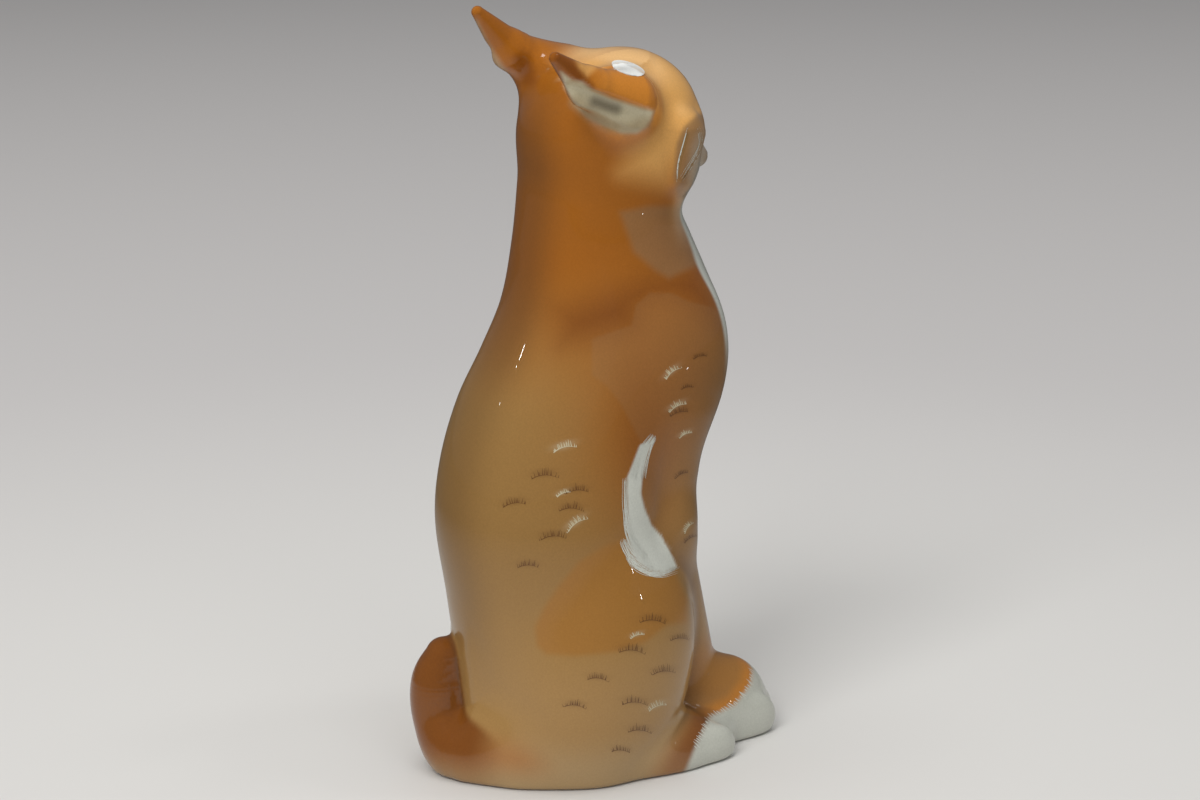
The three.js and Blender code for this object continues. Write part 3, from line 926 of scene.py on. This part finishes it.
class Coat:
    """Paint on points of the skin, sprayed on in layers from 0 for none to 1 for full."""

    def __init__(self, p, normal):
        shown = shown_side(p)
        outward = np.where((shown == p).all(1)[:, None], normal, normal * MIRROR)
        self.p = p
        self.normal = normal
        self.head = to_head(p)
        self.seen = project(shown)
        self.facing = fade((outward * unit(EYE - shown)).sum(1), 0, 0.2)
        self.on_head = fade(p[:, 2], *HEAD_HEIGHT)
        self.colour = np.tile(TAN, (len(p), 1))

    def spray(self, tint, weight):
        self.colour += (tint - self.colour) * np.clip(weight, 0, 1)[:, None]

    def fill(self, tint, outline, edge, weight):
        """Paint inside an outline in the picture, on both sides, with an edge as soft as given."""
        self.spray(tint, weight * fade(inside(self.seen, outline), -edge, edge) * self.facing)


def spray_trunk(coat):
    """Cream at the foot, then tan and orange, with a darker back that is partly painted shade, a deep band,
    an ochre haunch patch where no reflection is painted, and pale painted reflections on the neck and
    shoulder.
    """
    x, _, z = coat.p.T
    coat.spray(CREAM, 0.7 * fade(z, *CREAM_HEIGHT))
    coat.spray(IVORY, 0.2 * fade(z, *IVORY_HEIGHT))
    coat.spray(ORANGE, 0.85 * fade(z, *ORANGE_HEIGHT))
    coat.spray(ORANGE, 0.7 * puff(coat.p, **FLANK_PUFF))
    # A darker stripe on the spine that is also painted shade toward the far contour
    coat.spray(BROWN, 0.3 * zone(coat.p, **SPINE_STRIPE_AND_SHADE))
    coat.spray(UMBER, 0.35 * zone(coat.p, **NAPE) * fade(z, *NAPE_TOP))
    coat.fill(RUST, DEEP_BAND, 26, 0.6)
    coat.spray(RUST, 0.4 * puff(coat.p, **ELBOW_PUFF))
    coat.spray(RUST, 0.4 * puff(coat.p, **SHOULDER_PUFF))
    # Painted reflection: the deeper ochre patch is where the haunch mirrors nothing bright, and its crisp
    # edge stands for the edge of a reflection
    coat.fill(OCHRE, HAUNCH_PATCH, 4, 0.7)
    # Painted reflections: pale sheens on the neck and shoulder, on the side that faces the picture only
    reflected_side = fade(x, 0, -4)
    coat.fill(SHEEN_AND_RUFF_TAN, NECK_REFLECTION, 5, 0.7 * reflected_side)
    coat.fill(SHEEN_AND_RUFF_TAN, SHOULDER_REFLECTION, 1.5, 0.25 * reflected_side)


def spray_crown(coat):
    """Honey over the head, with painted top light that makes the upward faces of the crown paler."""
    forward = coat.head[:, 1]
    coat.fill(HONEY, HONEY_OUTLINE, 24, 0.9 * coat.on_head)
    # Painted top light on the faces of the crown that point up
    lit_crown = fade(coat.normal[:, 2], *CROWN_TOP_LIGHT_SLOPE) * fade(forward, *CROWN_FRONT)
    coat.spray(TOP_LIGHT_STRAW, 0.6 * coat.on_head * lit_crown)
    coat.spray(HONEY, 0.85 * coat.on_head * fade(forward, *FACE_FRONT))


def spray_smudges(coat):
    """The soft ground of the ticks of fur."""
    for tint, ticks in ((UMBER, DARK_TICKS), (IVORY, PALE_TICKS)):
        for x, y, tilt, size in ticks:
            coat.spray(tint, 0.4 * coat.facing * smudge(coat.seen, x, y, tilt, size))


def spray_white_front(coat):
    """The white of the bib, the muzzle, the cheeks and the ruff."""
    x, _, z = coat.p.T
    across, forward, up = coat.head.T
    angle = np.degrees(np.arctan2(np.abs(coat.normal[:, 0]), -coat.normal[:, 1]))
    front = fade(angle + BIB_NARROWING * fade(z, *BIB_NECK), *BIB_ANGLE)
    chest = fade(z - BIB_ARCH * x**2, *BIB_BOTTOM) * fade(up, *BIB_TOP)
    coat.spray(WHITE, front * chest * np.isin(kind_of(coat.p), [BODY, HEAD]))
    wide, high = WHITE_MUZZLE_STRETCH
    from_muzzle = np.hypot(across / wide, (up - WHITE_MUZZLE_MIDDLE) / high)
    muzzle = fade(from_muzzle, *WHITE_MUZZLE_EDGE) * fade(forward, *WHITE_MUZZLE_FRONT)
    coat.spray(WHITE, muzzle * coat.on_head)
    coat.spray(WHITE, 0.7 * zone(coat.head, **WHITE_CHEEK) * coat.on_head)
    coat.fill(SHEEN_AND_RUFF_TAN, RUFF_OUTLINE, 3, 0.8 * coat.on_head)
    in_ruff = fade(inside(coat.seen, RUFF_OUTLINE), *RUFF_WHITE)
    coat.spray(WHITE, 0.3 * coat.on_head * in_ruff * coat.facing)


def spray_ears(coat):
    """Golden ears with rusty tips and a pale opening, with painted shade at the left one's root and a
    painted shadow under the right one's upper rim. The picture shows the left one's back.
    """
    on_ear = fade(seam_ear(coat.p), 4, -3)
    right = fade(coat.head[:, 0], 3, -3) * coat.facing
    left = 1 - right
    along, out, _ = in_ear(coat.p).T
    coat.spray(ORANGE, 0.8 * on_ear)
    coat.spray(GOLD, on_ear * right * fade(along, *EAR_GOLD))
    coat.spray(RUST, 0.4 * on_ear * fade(along, *EAR_RUST))
    coat.spray(GOLD, 0.3 * on_ear * left * fade(along, *LEFT_EAR_GOLD))
    own = project(coat.p)
    # Painted shade in the crease where the left ear meets the head
    coat.spray(RUST, 0.5 * left * coat.on_head * fade(from_line(own, LEFT_EAR_ROOT_SHADE), 14, 2))
    coat.spray(IVORY, 0.5 * on_ear * left * fade(from_line(own, LEFT_EAR_EDGE), 8, 0))
    in_pocket = fade(out, 1.5, 3) * fade(pocket(in_ear(coat.p)), 0.9, 0.2)
    coat.spray(IVORY, on_ear * left * in_pocket * fade(along, *PALE_POCKET_END))
    coat.fill(HONEY, EAR_NOTCH, 4, 0.7 * right)
    coat.spray(RUST, 0.5 * right * fade(from_line(coat.seen, EAR_STRIP), 8, 2))
    coat.fill(IVORY, EAR_OPENING, 3, right)
    coat.spray(OLIVE, 0.65 * right * fade(from_line(coat.seen, EAR_LIP), 12, 0))
    # Painted shadow under the upper rim of the right ear's opening
    coat.spray(RIM_SHADOW_GREY, 0.8 * right * fade(from_line(coat.seen, EAR_SHADE), 11, 0))


def spray_tail(coat):
    """A rusty tail that pales at the foot, with an orange glow about its root and painted shade in the
    groove between tail and rump.
    """
    x, _, z = coat.p.T
    seam = seam_tail(coat.p)
    above_foot = fade(z, *TAIL_FOOT)
    on_tail = fade(seam, 2, -1) * fade(x, *TAIL_ACROSS)
    coat.spray(ORANGE, 0.55 * fade(seam, 11, 0) * fade(z, *GLOW_TOP) * above_foot)
    coat.spray(RUST, 0.95 * on_tail * (0.3 + 0.7 * above_foot))
    coat.spray(OCHRE, 0.2 * on_tail)
    # Painted shade in the groove between the tail and the rump
    groove_shade = fade(seam, 0.8, -0.4) * fade(seam, -2.6, -0.4)
    coat.spray(BROWN, 0.5 * groove_shade * fade(z, *TAIL_GROOVE_SHADE_BOTTOM))


def spray_feet(coat):
    """Orange feet with golden edges, rusty hind paws, painted shade in the creases, and white toes dimmed
    by painted shade.
    """
    _, y, z = coat.p.T
    leg, paw = seam_leg(coat.p), seam_paw(coat.p)
    to_toes = inside(coat.seen, TOE_OUTLINE)
    on_foot = fade(np.minimum(paw, leg), 2, -4) * fade(z, *FOOT_TOP)
    on_hind_paw = fade(paw, 2, -6)
    coat.spray(ORANGE, 0.4 * on_foot)
    coat.spray(GOLD, 0.65 * fade(to_toes, -16, -3) * on_foot * (1 - on_hind_paw))
    rusty = 0.25 + 0.5 * fade(to_toes, -34, -10)
    coat.spray(RUST, rusty * on_hind_paw * fade(z, *HIND_PAW_FOOT))
    # Painted shade in the creases between the forelegs, the hind paws and the body
    for seam, width, height in ((leg, 5, LEG_CREASE_SHADE_TOP), (paw, 3, PAW_CREASE_SHADE_BOTTOM)):
        coat.spray(UMBER, 0.5 * fade(seam, -width, 0) * fade(seam, 1.5, 0) * fade(z, *height))
    on_toes = np.maximum(fade(y, *TOE_FRONT), fade(to_toes, -3, 4))
    # The white of the toes, dimmed as painted shade
    coat.spray(SHADED_WHITE, on_toes * fade(z, *TOE_TOP))


def spray_stripe(coat):
    coat.fill(WHITE, STRIPE_OUTLINE, 1.5, coat.p[:, 2] < STRIPE_TOP)


LAYERS = [
    spray_trunk,
    spray_crown,
    spray_smudges,
    spray_white_front,
    spray_ears,
    spray_tail,
    spray_feet,
    spray_stripe,
]


def paint(p, normal):
    """The colour of the paint under the glaze."""
    coat = Coat(p, normal)
    for layer in LAYERS:
        layer(coat)
    return coat.colour


# Materials

def set_inputs(node, values):
    for name, value in values.items():
        node.inputs[name].default_value = value


def add_node(tree, kind, values=None, **settings):
    """A new shader node with its settings, and with values on some of its inputs."""
    node = tree.nodes.new("ShaderNode" + kind)
    for name, value in settings.items():
        setattr(node, name, value)
    set_inputs(node, values or {})
    return node


def connect(tree, *wires):
    """Joins nodes by wires: a node and its output, then a node and its input."""
    for start, output, end, socket in wires:
        tree.links.new(start.outputs[output], end.inputs[socket])


def add_material(name, finish):
    """A new material with its shader tree, and its shader with the values of a finish."""
    material = bpy.data.materials.new(name)
    material.use_nodes = True
    shader = material.node_tree.nodes["Principled BSDF"]
    set_inputs(shader, finish)
    return material, material.node_tree, shader


def glaze(name):
    """Clear glossy glaze over airbrushed paint, whose colour the skin carries."""
    material, tree, shader = add_material(name, GLAZE)
    colour = add_node(tree, "Attribute", attribute_name="paint")
    place = add_node(tree, "TexCoord")
    grain = add_node(tree, "TexNoise", GRAIN)
    shade = add_node(tree, "MapRange", GRAIN_SHADE)
    speck = add_node(tree, "Mix", {"Factor": 1}, data_type="RGBA", blend_type="MULTIPLY")
    wave = add_node(tree, "TexNoise", WAVE)
    rough = add_node(tree, "MapRange", WAVE_ROUGHNESS)
    bump = add_node(tree, "Bump", WAVE_BUMP)
    connect(
        tree,
        (place, "Object", grain, "Vector"),
        (place, "Object", wave, "Vector"),
        (grain, "Fac", shade, "Value"),
        (colour, "Color", speck, "A"),
        (shade, "Result", speck, "B"),
        (speck, "Result", shader, "Base Color"),
        (wave, "Fac", rough, "Value"),
        (rough, "Result", shader, "Roughness"),
        (wave, "Fac", bump, "Height"),
        (bump, "Normal", shader, "Normal"),
        (bump, "Normal", shader, "Coat Normal"),
    )
    return material


GLAZES = {slot: glaze(slot) for slot in dict.fromkeys(slot for _, slot in CASTINGS)}


# Pieces

def make_piece(name, slot, p, polygons, normal, colour):
    mesh = bpy.data.meshes.new(name)
    mesh.from_pydata(p * MM, [], polygons)
    mesh.validate()
    mesh.shade_smooth()
    mesh.normals_split_custom_set_from_vertices(normal)
    attribute = mesh.color_attributes.new("paint", "FLOAT_COLOR", "POINT")
    attribute.data.foreach_set("color", np.column_stack([colour, np.ones(len(colour))]).ravel())
    mesh.materials.append(GLAZES[slot])
    piece = add_object(name, mesh)
    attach(piece, "root")
    return piece


def open_loops(polygons):
    """The closed chains of edges that only one face has."""
    edges = np.stack([polygons, np.roll(polygons, -1, axis=1)], -1).reshape(-1, 2)
    size = polygons.max() + 1
    alone = edges[~np.isin(edges @ (size, 1), edges @ (1, size))]
    following = {}
    for a, b in alone.tolist():
        following.setdefault(a, []).append(b)
    loops = []
    while following:
        at = next(iter(following))
        loop = []
        while at in following:
            loop.append(at)
            ahead = following[at].pop()
            if not following[at]:
                del following[at]
            at = ahead
        loops.append(loop)
    return loops


def sunk(loop):
    """A rim of points a little below the skin, evened out along its way."""
    rim = points[loop] - normals[loop] * LID_DEPTH
    for _ in range(RIM_ROUNDS):
        rim = (np.roll(rim, 1, axis=0) + 2 * rim + np.roll(rim, -1, axis=0)) / 4
    return rim


def lid(rim):
    """Triangles that close a rim, laid out as it is seen from where it looks widest."""
    middle = rim - rim.mean(0)
    widest = np.cross(middle, np.roll(middle, -1, axis=0)).sum(0)
    plan = middle @ np.array(Vector(widest).to_track_quat("Z", "Y").to_matrix())[:, :2]
    filled = delaunay_2d_cdt([Vector(q) for q in plan], [], [range(len(rim))], 1, 1e-7)
    corners, origins = filled[2], filled[3]
    return [[origins[n][0] for n in corner[::-1]] for corner in corners]


def make_casting(index, name, slot):
    """One casting: its share of the skin, with a sunk lid over each seam where it is luted on."""
    own = faces[label == index]
    used = np.unique(own)
    place = np.zeros(len(points), int)
    place[used] = np.arange(len(used))
    polygons = place[own].tolist()
    p = points[used]
    for loop in open_loops(own):
        start = len(used)
        after = np.roll(np.arange(len(loop)), -1)
        polygons += [(place[loop[m]], place[loop[n]], start + n, start + m) for n, m in enumerate(after)]
        rim = sunk(loop)
        polygons += [[start + n for n in corner] for corner in lid(rim)]
        used = np.concatenate([used, loop])
        p = np.vstack([p, rim])
    piece = make_piece(name + "_skin", slot, p, polygons, normals[used], paint_of_skin[used])
    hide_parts(name)


paint_of_skin = paint(points, normals)
for index, (name, slot) in enumerate(CASTINGS):
    make_casting(index, name, slot)


# Brushwork: closed slips of paint that lie in the skin and stand a hair proud of it

SWELL = np.sin(np.linspace(0.1, 0.94, STROKE_SECTIONS) * np.pi)


class Brush:
    """Gathers strokes and patches of one glaze, to become one piece."""

    def __init__(self, name, slot):
        self.name = name
        self.slot = slot
        self.points = np.zeros((0, 3))
        self.normals = np.zeros((0, 3))
        self.colours = np.zeros((0, 3))
        self.polygons = []

    def add(self, p, normal, colour, polygons):
        start = len(self.points)
        self.points = np.vstack([self.points, p])
        self.normals = np.vstack([self.normals, normal])
        self.colours = np.vstack([self.colours, np.broadcast_to(colour, p.shape)])
        self.polygons += [[start + n for n in polygon] for polygon in polygons]

    def strokes(self, paths, widths, colour):
        """Strokes along paths on the skin, which narrow as their half widths say."""
        flat = paths.reshape(-1, 3)
        off = np.abs(figure(flat)).reshape(paths.shape[:-1]).max(1)
        normal = unit(gradient(figure, flat)).reshape(paths.shape)
        across = unit(np.cross(normal, np.gradient(paths, axis=1))) * np.array(widths)[:, None]
        top = paths + normal * STROKE_PROUD
        ring = np.stack([top - across, top + across, paths - normal * STROKE_DEPTH], 2)
        last = 3 * (paths.shape[1] - 1)
        polygons = [(0, 1, 2), (last + 2, last + 1, last)]
        for k in range(0, last, 3):
            for a, b in ((0, 1), (1, 2), (2, 0)):
                polygons.append((k + a, k + 3 + a, k + 3 + b, k + b))
        for n in np.flatnonzero(off < SKIN_CELL):
            self.add(ring[n].reshape(-1, 3), np.repeat(normal[n], 3, axis=0), colour, polygons)

    def patch(self, rings, colour, proud):
        """A patch of paint inside the last of a row of rings on the skin."""
        count, spokes = rings.shape[:2]
        flat = rings.reshape(-1, 3)
        normal = unit(gradient(figure, flat))
        rim = flat[-spokes:] - normal[-spokes:] * STROKE_DEPTH
        p = np.vstack([flat + normal * proud, rim])
        start = np.arange(count) * spokes
        polygons = [list(range(spokes)), list(range(count * spokes, (count + 1) * spokes))[::-1]]
        for k in start:
            for n in range(spokes):
                after = (n + 1) % spokes
                polygons.append((k + n, k + spokes + n, k + spokes + after, k + after))
        winding = np.cross(flat[1] - flat[0], flat[2] - flat[1]) @ normal[0]
        if winding < 0:
            polygons = [polygon[::-1] for polygon in polygons]
        self.add(p, np.vstack([normal, normal[-spokes:]]), colour, polygons)

    def make(self):
        make_piece(self.name, self.slot, self.points, self.polygons, self.normals, self.colours)


def oval(centre, radii, tilt=0.0):
    """Rings of places in an oval, from the middle out."""
    turn = np.linspace(0, 2 * np.pi, OVAL_SPOKES, endpoint=False)
    share = np.arange(1, OVAL_RINGS + 1)[:, None, None] / OVAL_RINGS
    rim = np.column_stack([np.cos(turn), np.sin(turn)]) * radii
    return centre + share * rim @ turning(tilt)


def settled(p):
    return settle(figure, p.reshape(-1, 3), MIRROR_STEP).reshape(p.shape)


def both(p):
    """Points on the right side, and the same on the left."""
    return p, settled(mirrored(p))


def on_left_ear(p):
    """Rings of points on the right ear as smaller rings on the left ear, further out on it."""
    own = (to_head(p) * MIRROR - EAR_RIGHT[0]) @ ear_axes(EAR_RIGHT)
    middle = own.mean((0, 1))
    own = middle + (own - middle) * LEFT_SPOT_SIZE + LEFT_SPOT_SHIFT
    return settled(from_head(EAR_LEFT[0] + own @ ear_axes(EAR_LEFT).T))


def tuft(x, y, tilt, size):
    """Pixel paths of one tick of fur: a short arched line, and the hairs that rise from it."""
    def arch(t):
        return np.column_stack([t * TUFT_WIDTH / 2, t * t * TUFT_ARCH])

    t = np.linspace(-1, 1, TUFT_HAIRS) + rng.uniform(-TUFT_SHIFT, TUFT_SHIFT, TUFT_HAIRS)
    lean = np.radians(t * TUFT_FAN + rng.uniform(-TUFT_LEAN, TUFT_LEAN, TUFT_HAIRS))
    length = TUFT_LENGTH * (1 - t * t / 2) * rng.uniform(*TUFT_LENGTHS, TUFT_HAIRS)
    rise = np.column_stack([np.sin(lean), -np.cos(lean)]) * length[:, None]
    hairs = arch(t)[:, None] + np.linspace(0, 1, STROKE_SECTIONS)[:, None] * rise[:, None]
    line = arch(np.linspace(-1, 1, STROKE_SECTIONS))
    return np.array([x, y]) + np.concatenate([[line], hairs]) @ turning(tilt) * size


def paint_fur(brush, ticks, width, colour):
    """Ticks of fur at their places in the picture, on both sides of the figure."""
    paths = on_view(np.concatenate([tuft(*tick) for tick in ticks]))
    for side in both(paths):
        brush.strokes(side, np.linspace(width, width / 4, STROKE_SECTIONS), colour)


def paint_wisps(brush, lines, hairs, spread, width, colour):
    """Wisps of hairs along lines of pixels, on both sides of the figure."""
    middle = np.repeat([spline(line, STROKE_SECTIONS) for line in lines], hairs, axis=0)
    start, drift = rng.uniform(-spread, spread, (2, len(middle), 1, 2))
    paths = on_view(middle + start + np.linspace(0, 1, STROKE_SECTIONS)[:, None] * drift)
    for side in both(paths):
        brush.strokes(side, width * SWELL, colour)


def toe_hairs():
    """Lines of pixels for the short hairs where the white of the toes ends."""
    lines = []
    for start, end in zip(TOE_EDGE[:-1], TOE_EDGE[1:]):
        for share in np.linspace(0, 1, TOE_HAIRS, endpoint=False):
            root = np.array(start) * (1 - share) + np.array(end) * share
            reach = np.array(TOE_HAIR) * rng.uniform(*TOE_HAIR_LENGTHS)
            lines.append([root - reach, root, root + reach])
    return lines


def paint_spot(brush, rings, colour, proud=STROKE_PROUD):
    for side in both(rings):
        brush.patch(side, colour, proud)


dark = Brush("dark_brushwork", "rust_glaze")
pale = Brush("pale_brushwork", "white_glaze")
paint_fur(dark, DARK_TICKS, HAIR_WIDTH, UMBER)
paint_fur(pale, PALE_TICKS, 1.5 * HAIR_WIDTH, IVORY)
paint_wisps(pale, STRIPE_WISPS, hairs=14, spread=2.4, width=0.06, colour=WHITE)
paint_wisps(dark, RUFF_WISPS, hairs=3, spread=1.6, width=0.08, colour=TAN)
paint_wisps(pale, RUFF_WISPS, hairs=3, spread=2.4, width=0.1, colour=WHITE)
paint_wisps(pale, toe_hairs(), hairs=1, spread=0.8, width=0.12, colour=WHITE)
ear_spot = on_view(oval(EAR_SPOT, EAR_SPOT_RADII, EAR_SPOT_TILT))
pale.patch(ear_spot, BRIGHT_WHITE, SPOT_PROUD)
pale.patch(on_left_ear(ear_spot), BRIGHT_WHITE, SPOT_PROUD)
paint_spot(dark, on_face(oval(EYE_PLACE, EYE_RIM_RADII)), BLACK)
paint_spot(dark, on_face(oval(EYE_PLACE, IRIS_RADII)), AMBER, 2 * STROKE_PROUD)
paint_spot(dark, on_face(oval(EYE_PLACE, PUPIL_RADII)), BLACK, 3 * STROKE_PROUD)
dark.patch(on_face(oval(NOSE_PLACE, NOSE_RADII)), PINK, STROKE_PROUD)
for place in WHISKER_DOTS:
    paint_spot(dark, on_face(oval(place, WHISKER_RADII)), BROWN)
for side in both(on_face([spline(line, STROKE_SECTIONS) for line in FACE_LINES])):
    dark.strokes(side, FACE_LINE_WIDTH * SWELL, BROWN)
dark.make()
pale.make()


# Stage and light

def make_floor():
    """A pale floor, which the glaze mirrors darker away from the figure than it looks."""
    mesh = bpy.data.meshes.new("floor")
    corners = [(-1, -1, 0), (1, -1, 0), (1, 1, 0), (-1, 1, 0)]
    mesh.from_pydata(np.array(corners) * FLOOR_REACH, [], [(0, 1, 2, 3)])
    material, tree, shader = add_material("floor", FLOOR_FINISH)
    place = add_node(tree, "TexCoord")
    length = add_node(tree, "VectorMath", operation="LENGTH")
    span = add_node(tree, "MapRange", FLOOR_FADE, interpolation_type="SMOOTHSTEP")
    mix = add_node(tree, "Mix", {"A": (*FLOOR_NEAR, 1), "B": (*FLOOR_FAR, 1)}, data_type="RGBA")
    path = add_node(tree, "LightPath")
    away = add_node(tree, "MapRange", FLOOR_SHINE_FADE)
    shine = add_node(tree, "Mix", {"B": (*FLOOR_SHINE, 1)}, data_type="RGBA")
    connect(
        tree,
        (place, "Object", length, 0),
        (length, "Value", span, "Value"),
        (span, "Result", mix, "Factor"),
        (length, "Value", away, "Value"),
        (path, "Is Glossy Ray", away, "To Max"),
        (away, "Result", shine, "Factor"),
        (mix, "Result", shine, "A"),
        (shine, "Result", shader, "Base Color"),
    )
    mesh.materials.append(material)
    add_object("floor", mesh)


def make_world():
    """Even light from all sides, which the glaze mirrors only faintly."""
    world = bpy.data.worlds.new("studio")
    world.use_nodes = True
    tree = world.node_tree
    background = tree.nodes["Background"]
    set_inputs(background, {"Color": WORLD_COLOUR})
    path = add_node(tree, "LightPath")
    strength = add_node(tree, "MapRange", {"To Min": WORLD_STRENGTH, "To Max": WORLD_SHINE})
    connect(
        tree,
        (path, "Is Glossy Ray", strength, "Value"),
        (strength, "Result", background, "Strength"),
    )
    bpy.context.scene.world = world


def softbox(name, place, size, power, mirrored_in_glaze):
    """A soft lamp that faces the figure."""
    lamp = bpy.data.lights.new(name, "AREA")
    lamp.shape = "SQUARE"
    lamp.size = size
    lamp.energy = power
    light = add_object(name, lamp)
    light.location = place
    light.rotation_euler = (Vector(LAMP_TARGET) - Vector(place)).to_track_quat("-Z", "Y").to_euler()
    light.visible_glossy = mirrored_in_glaze


make_floor()
make_world()
for lamp in LAMPS:
    softbox(*lamp)

bpy.context.scene.view_settings.view_transform = "Standard"
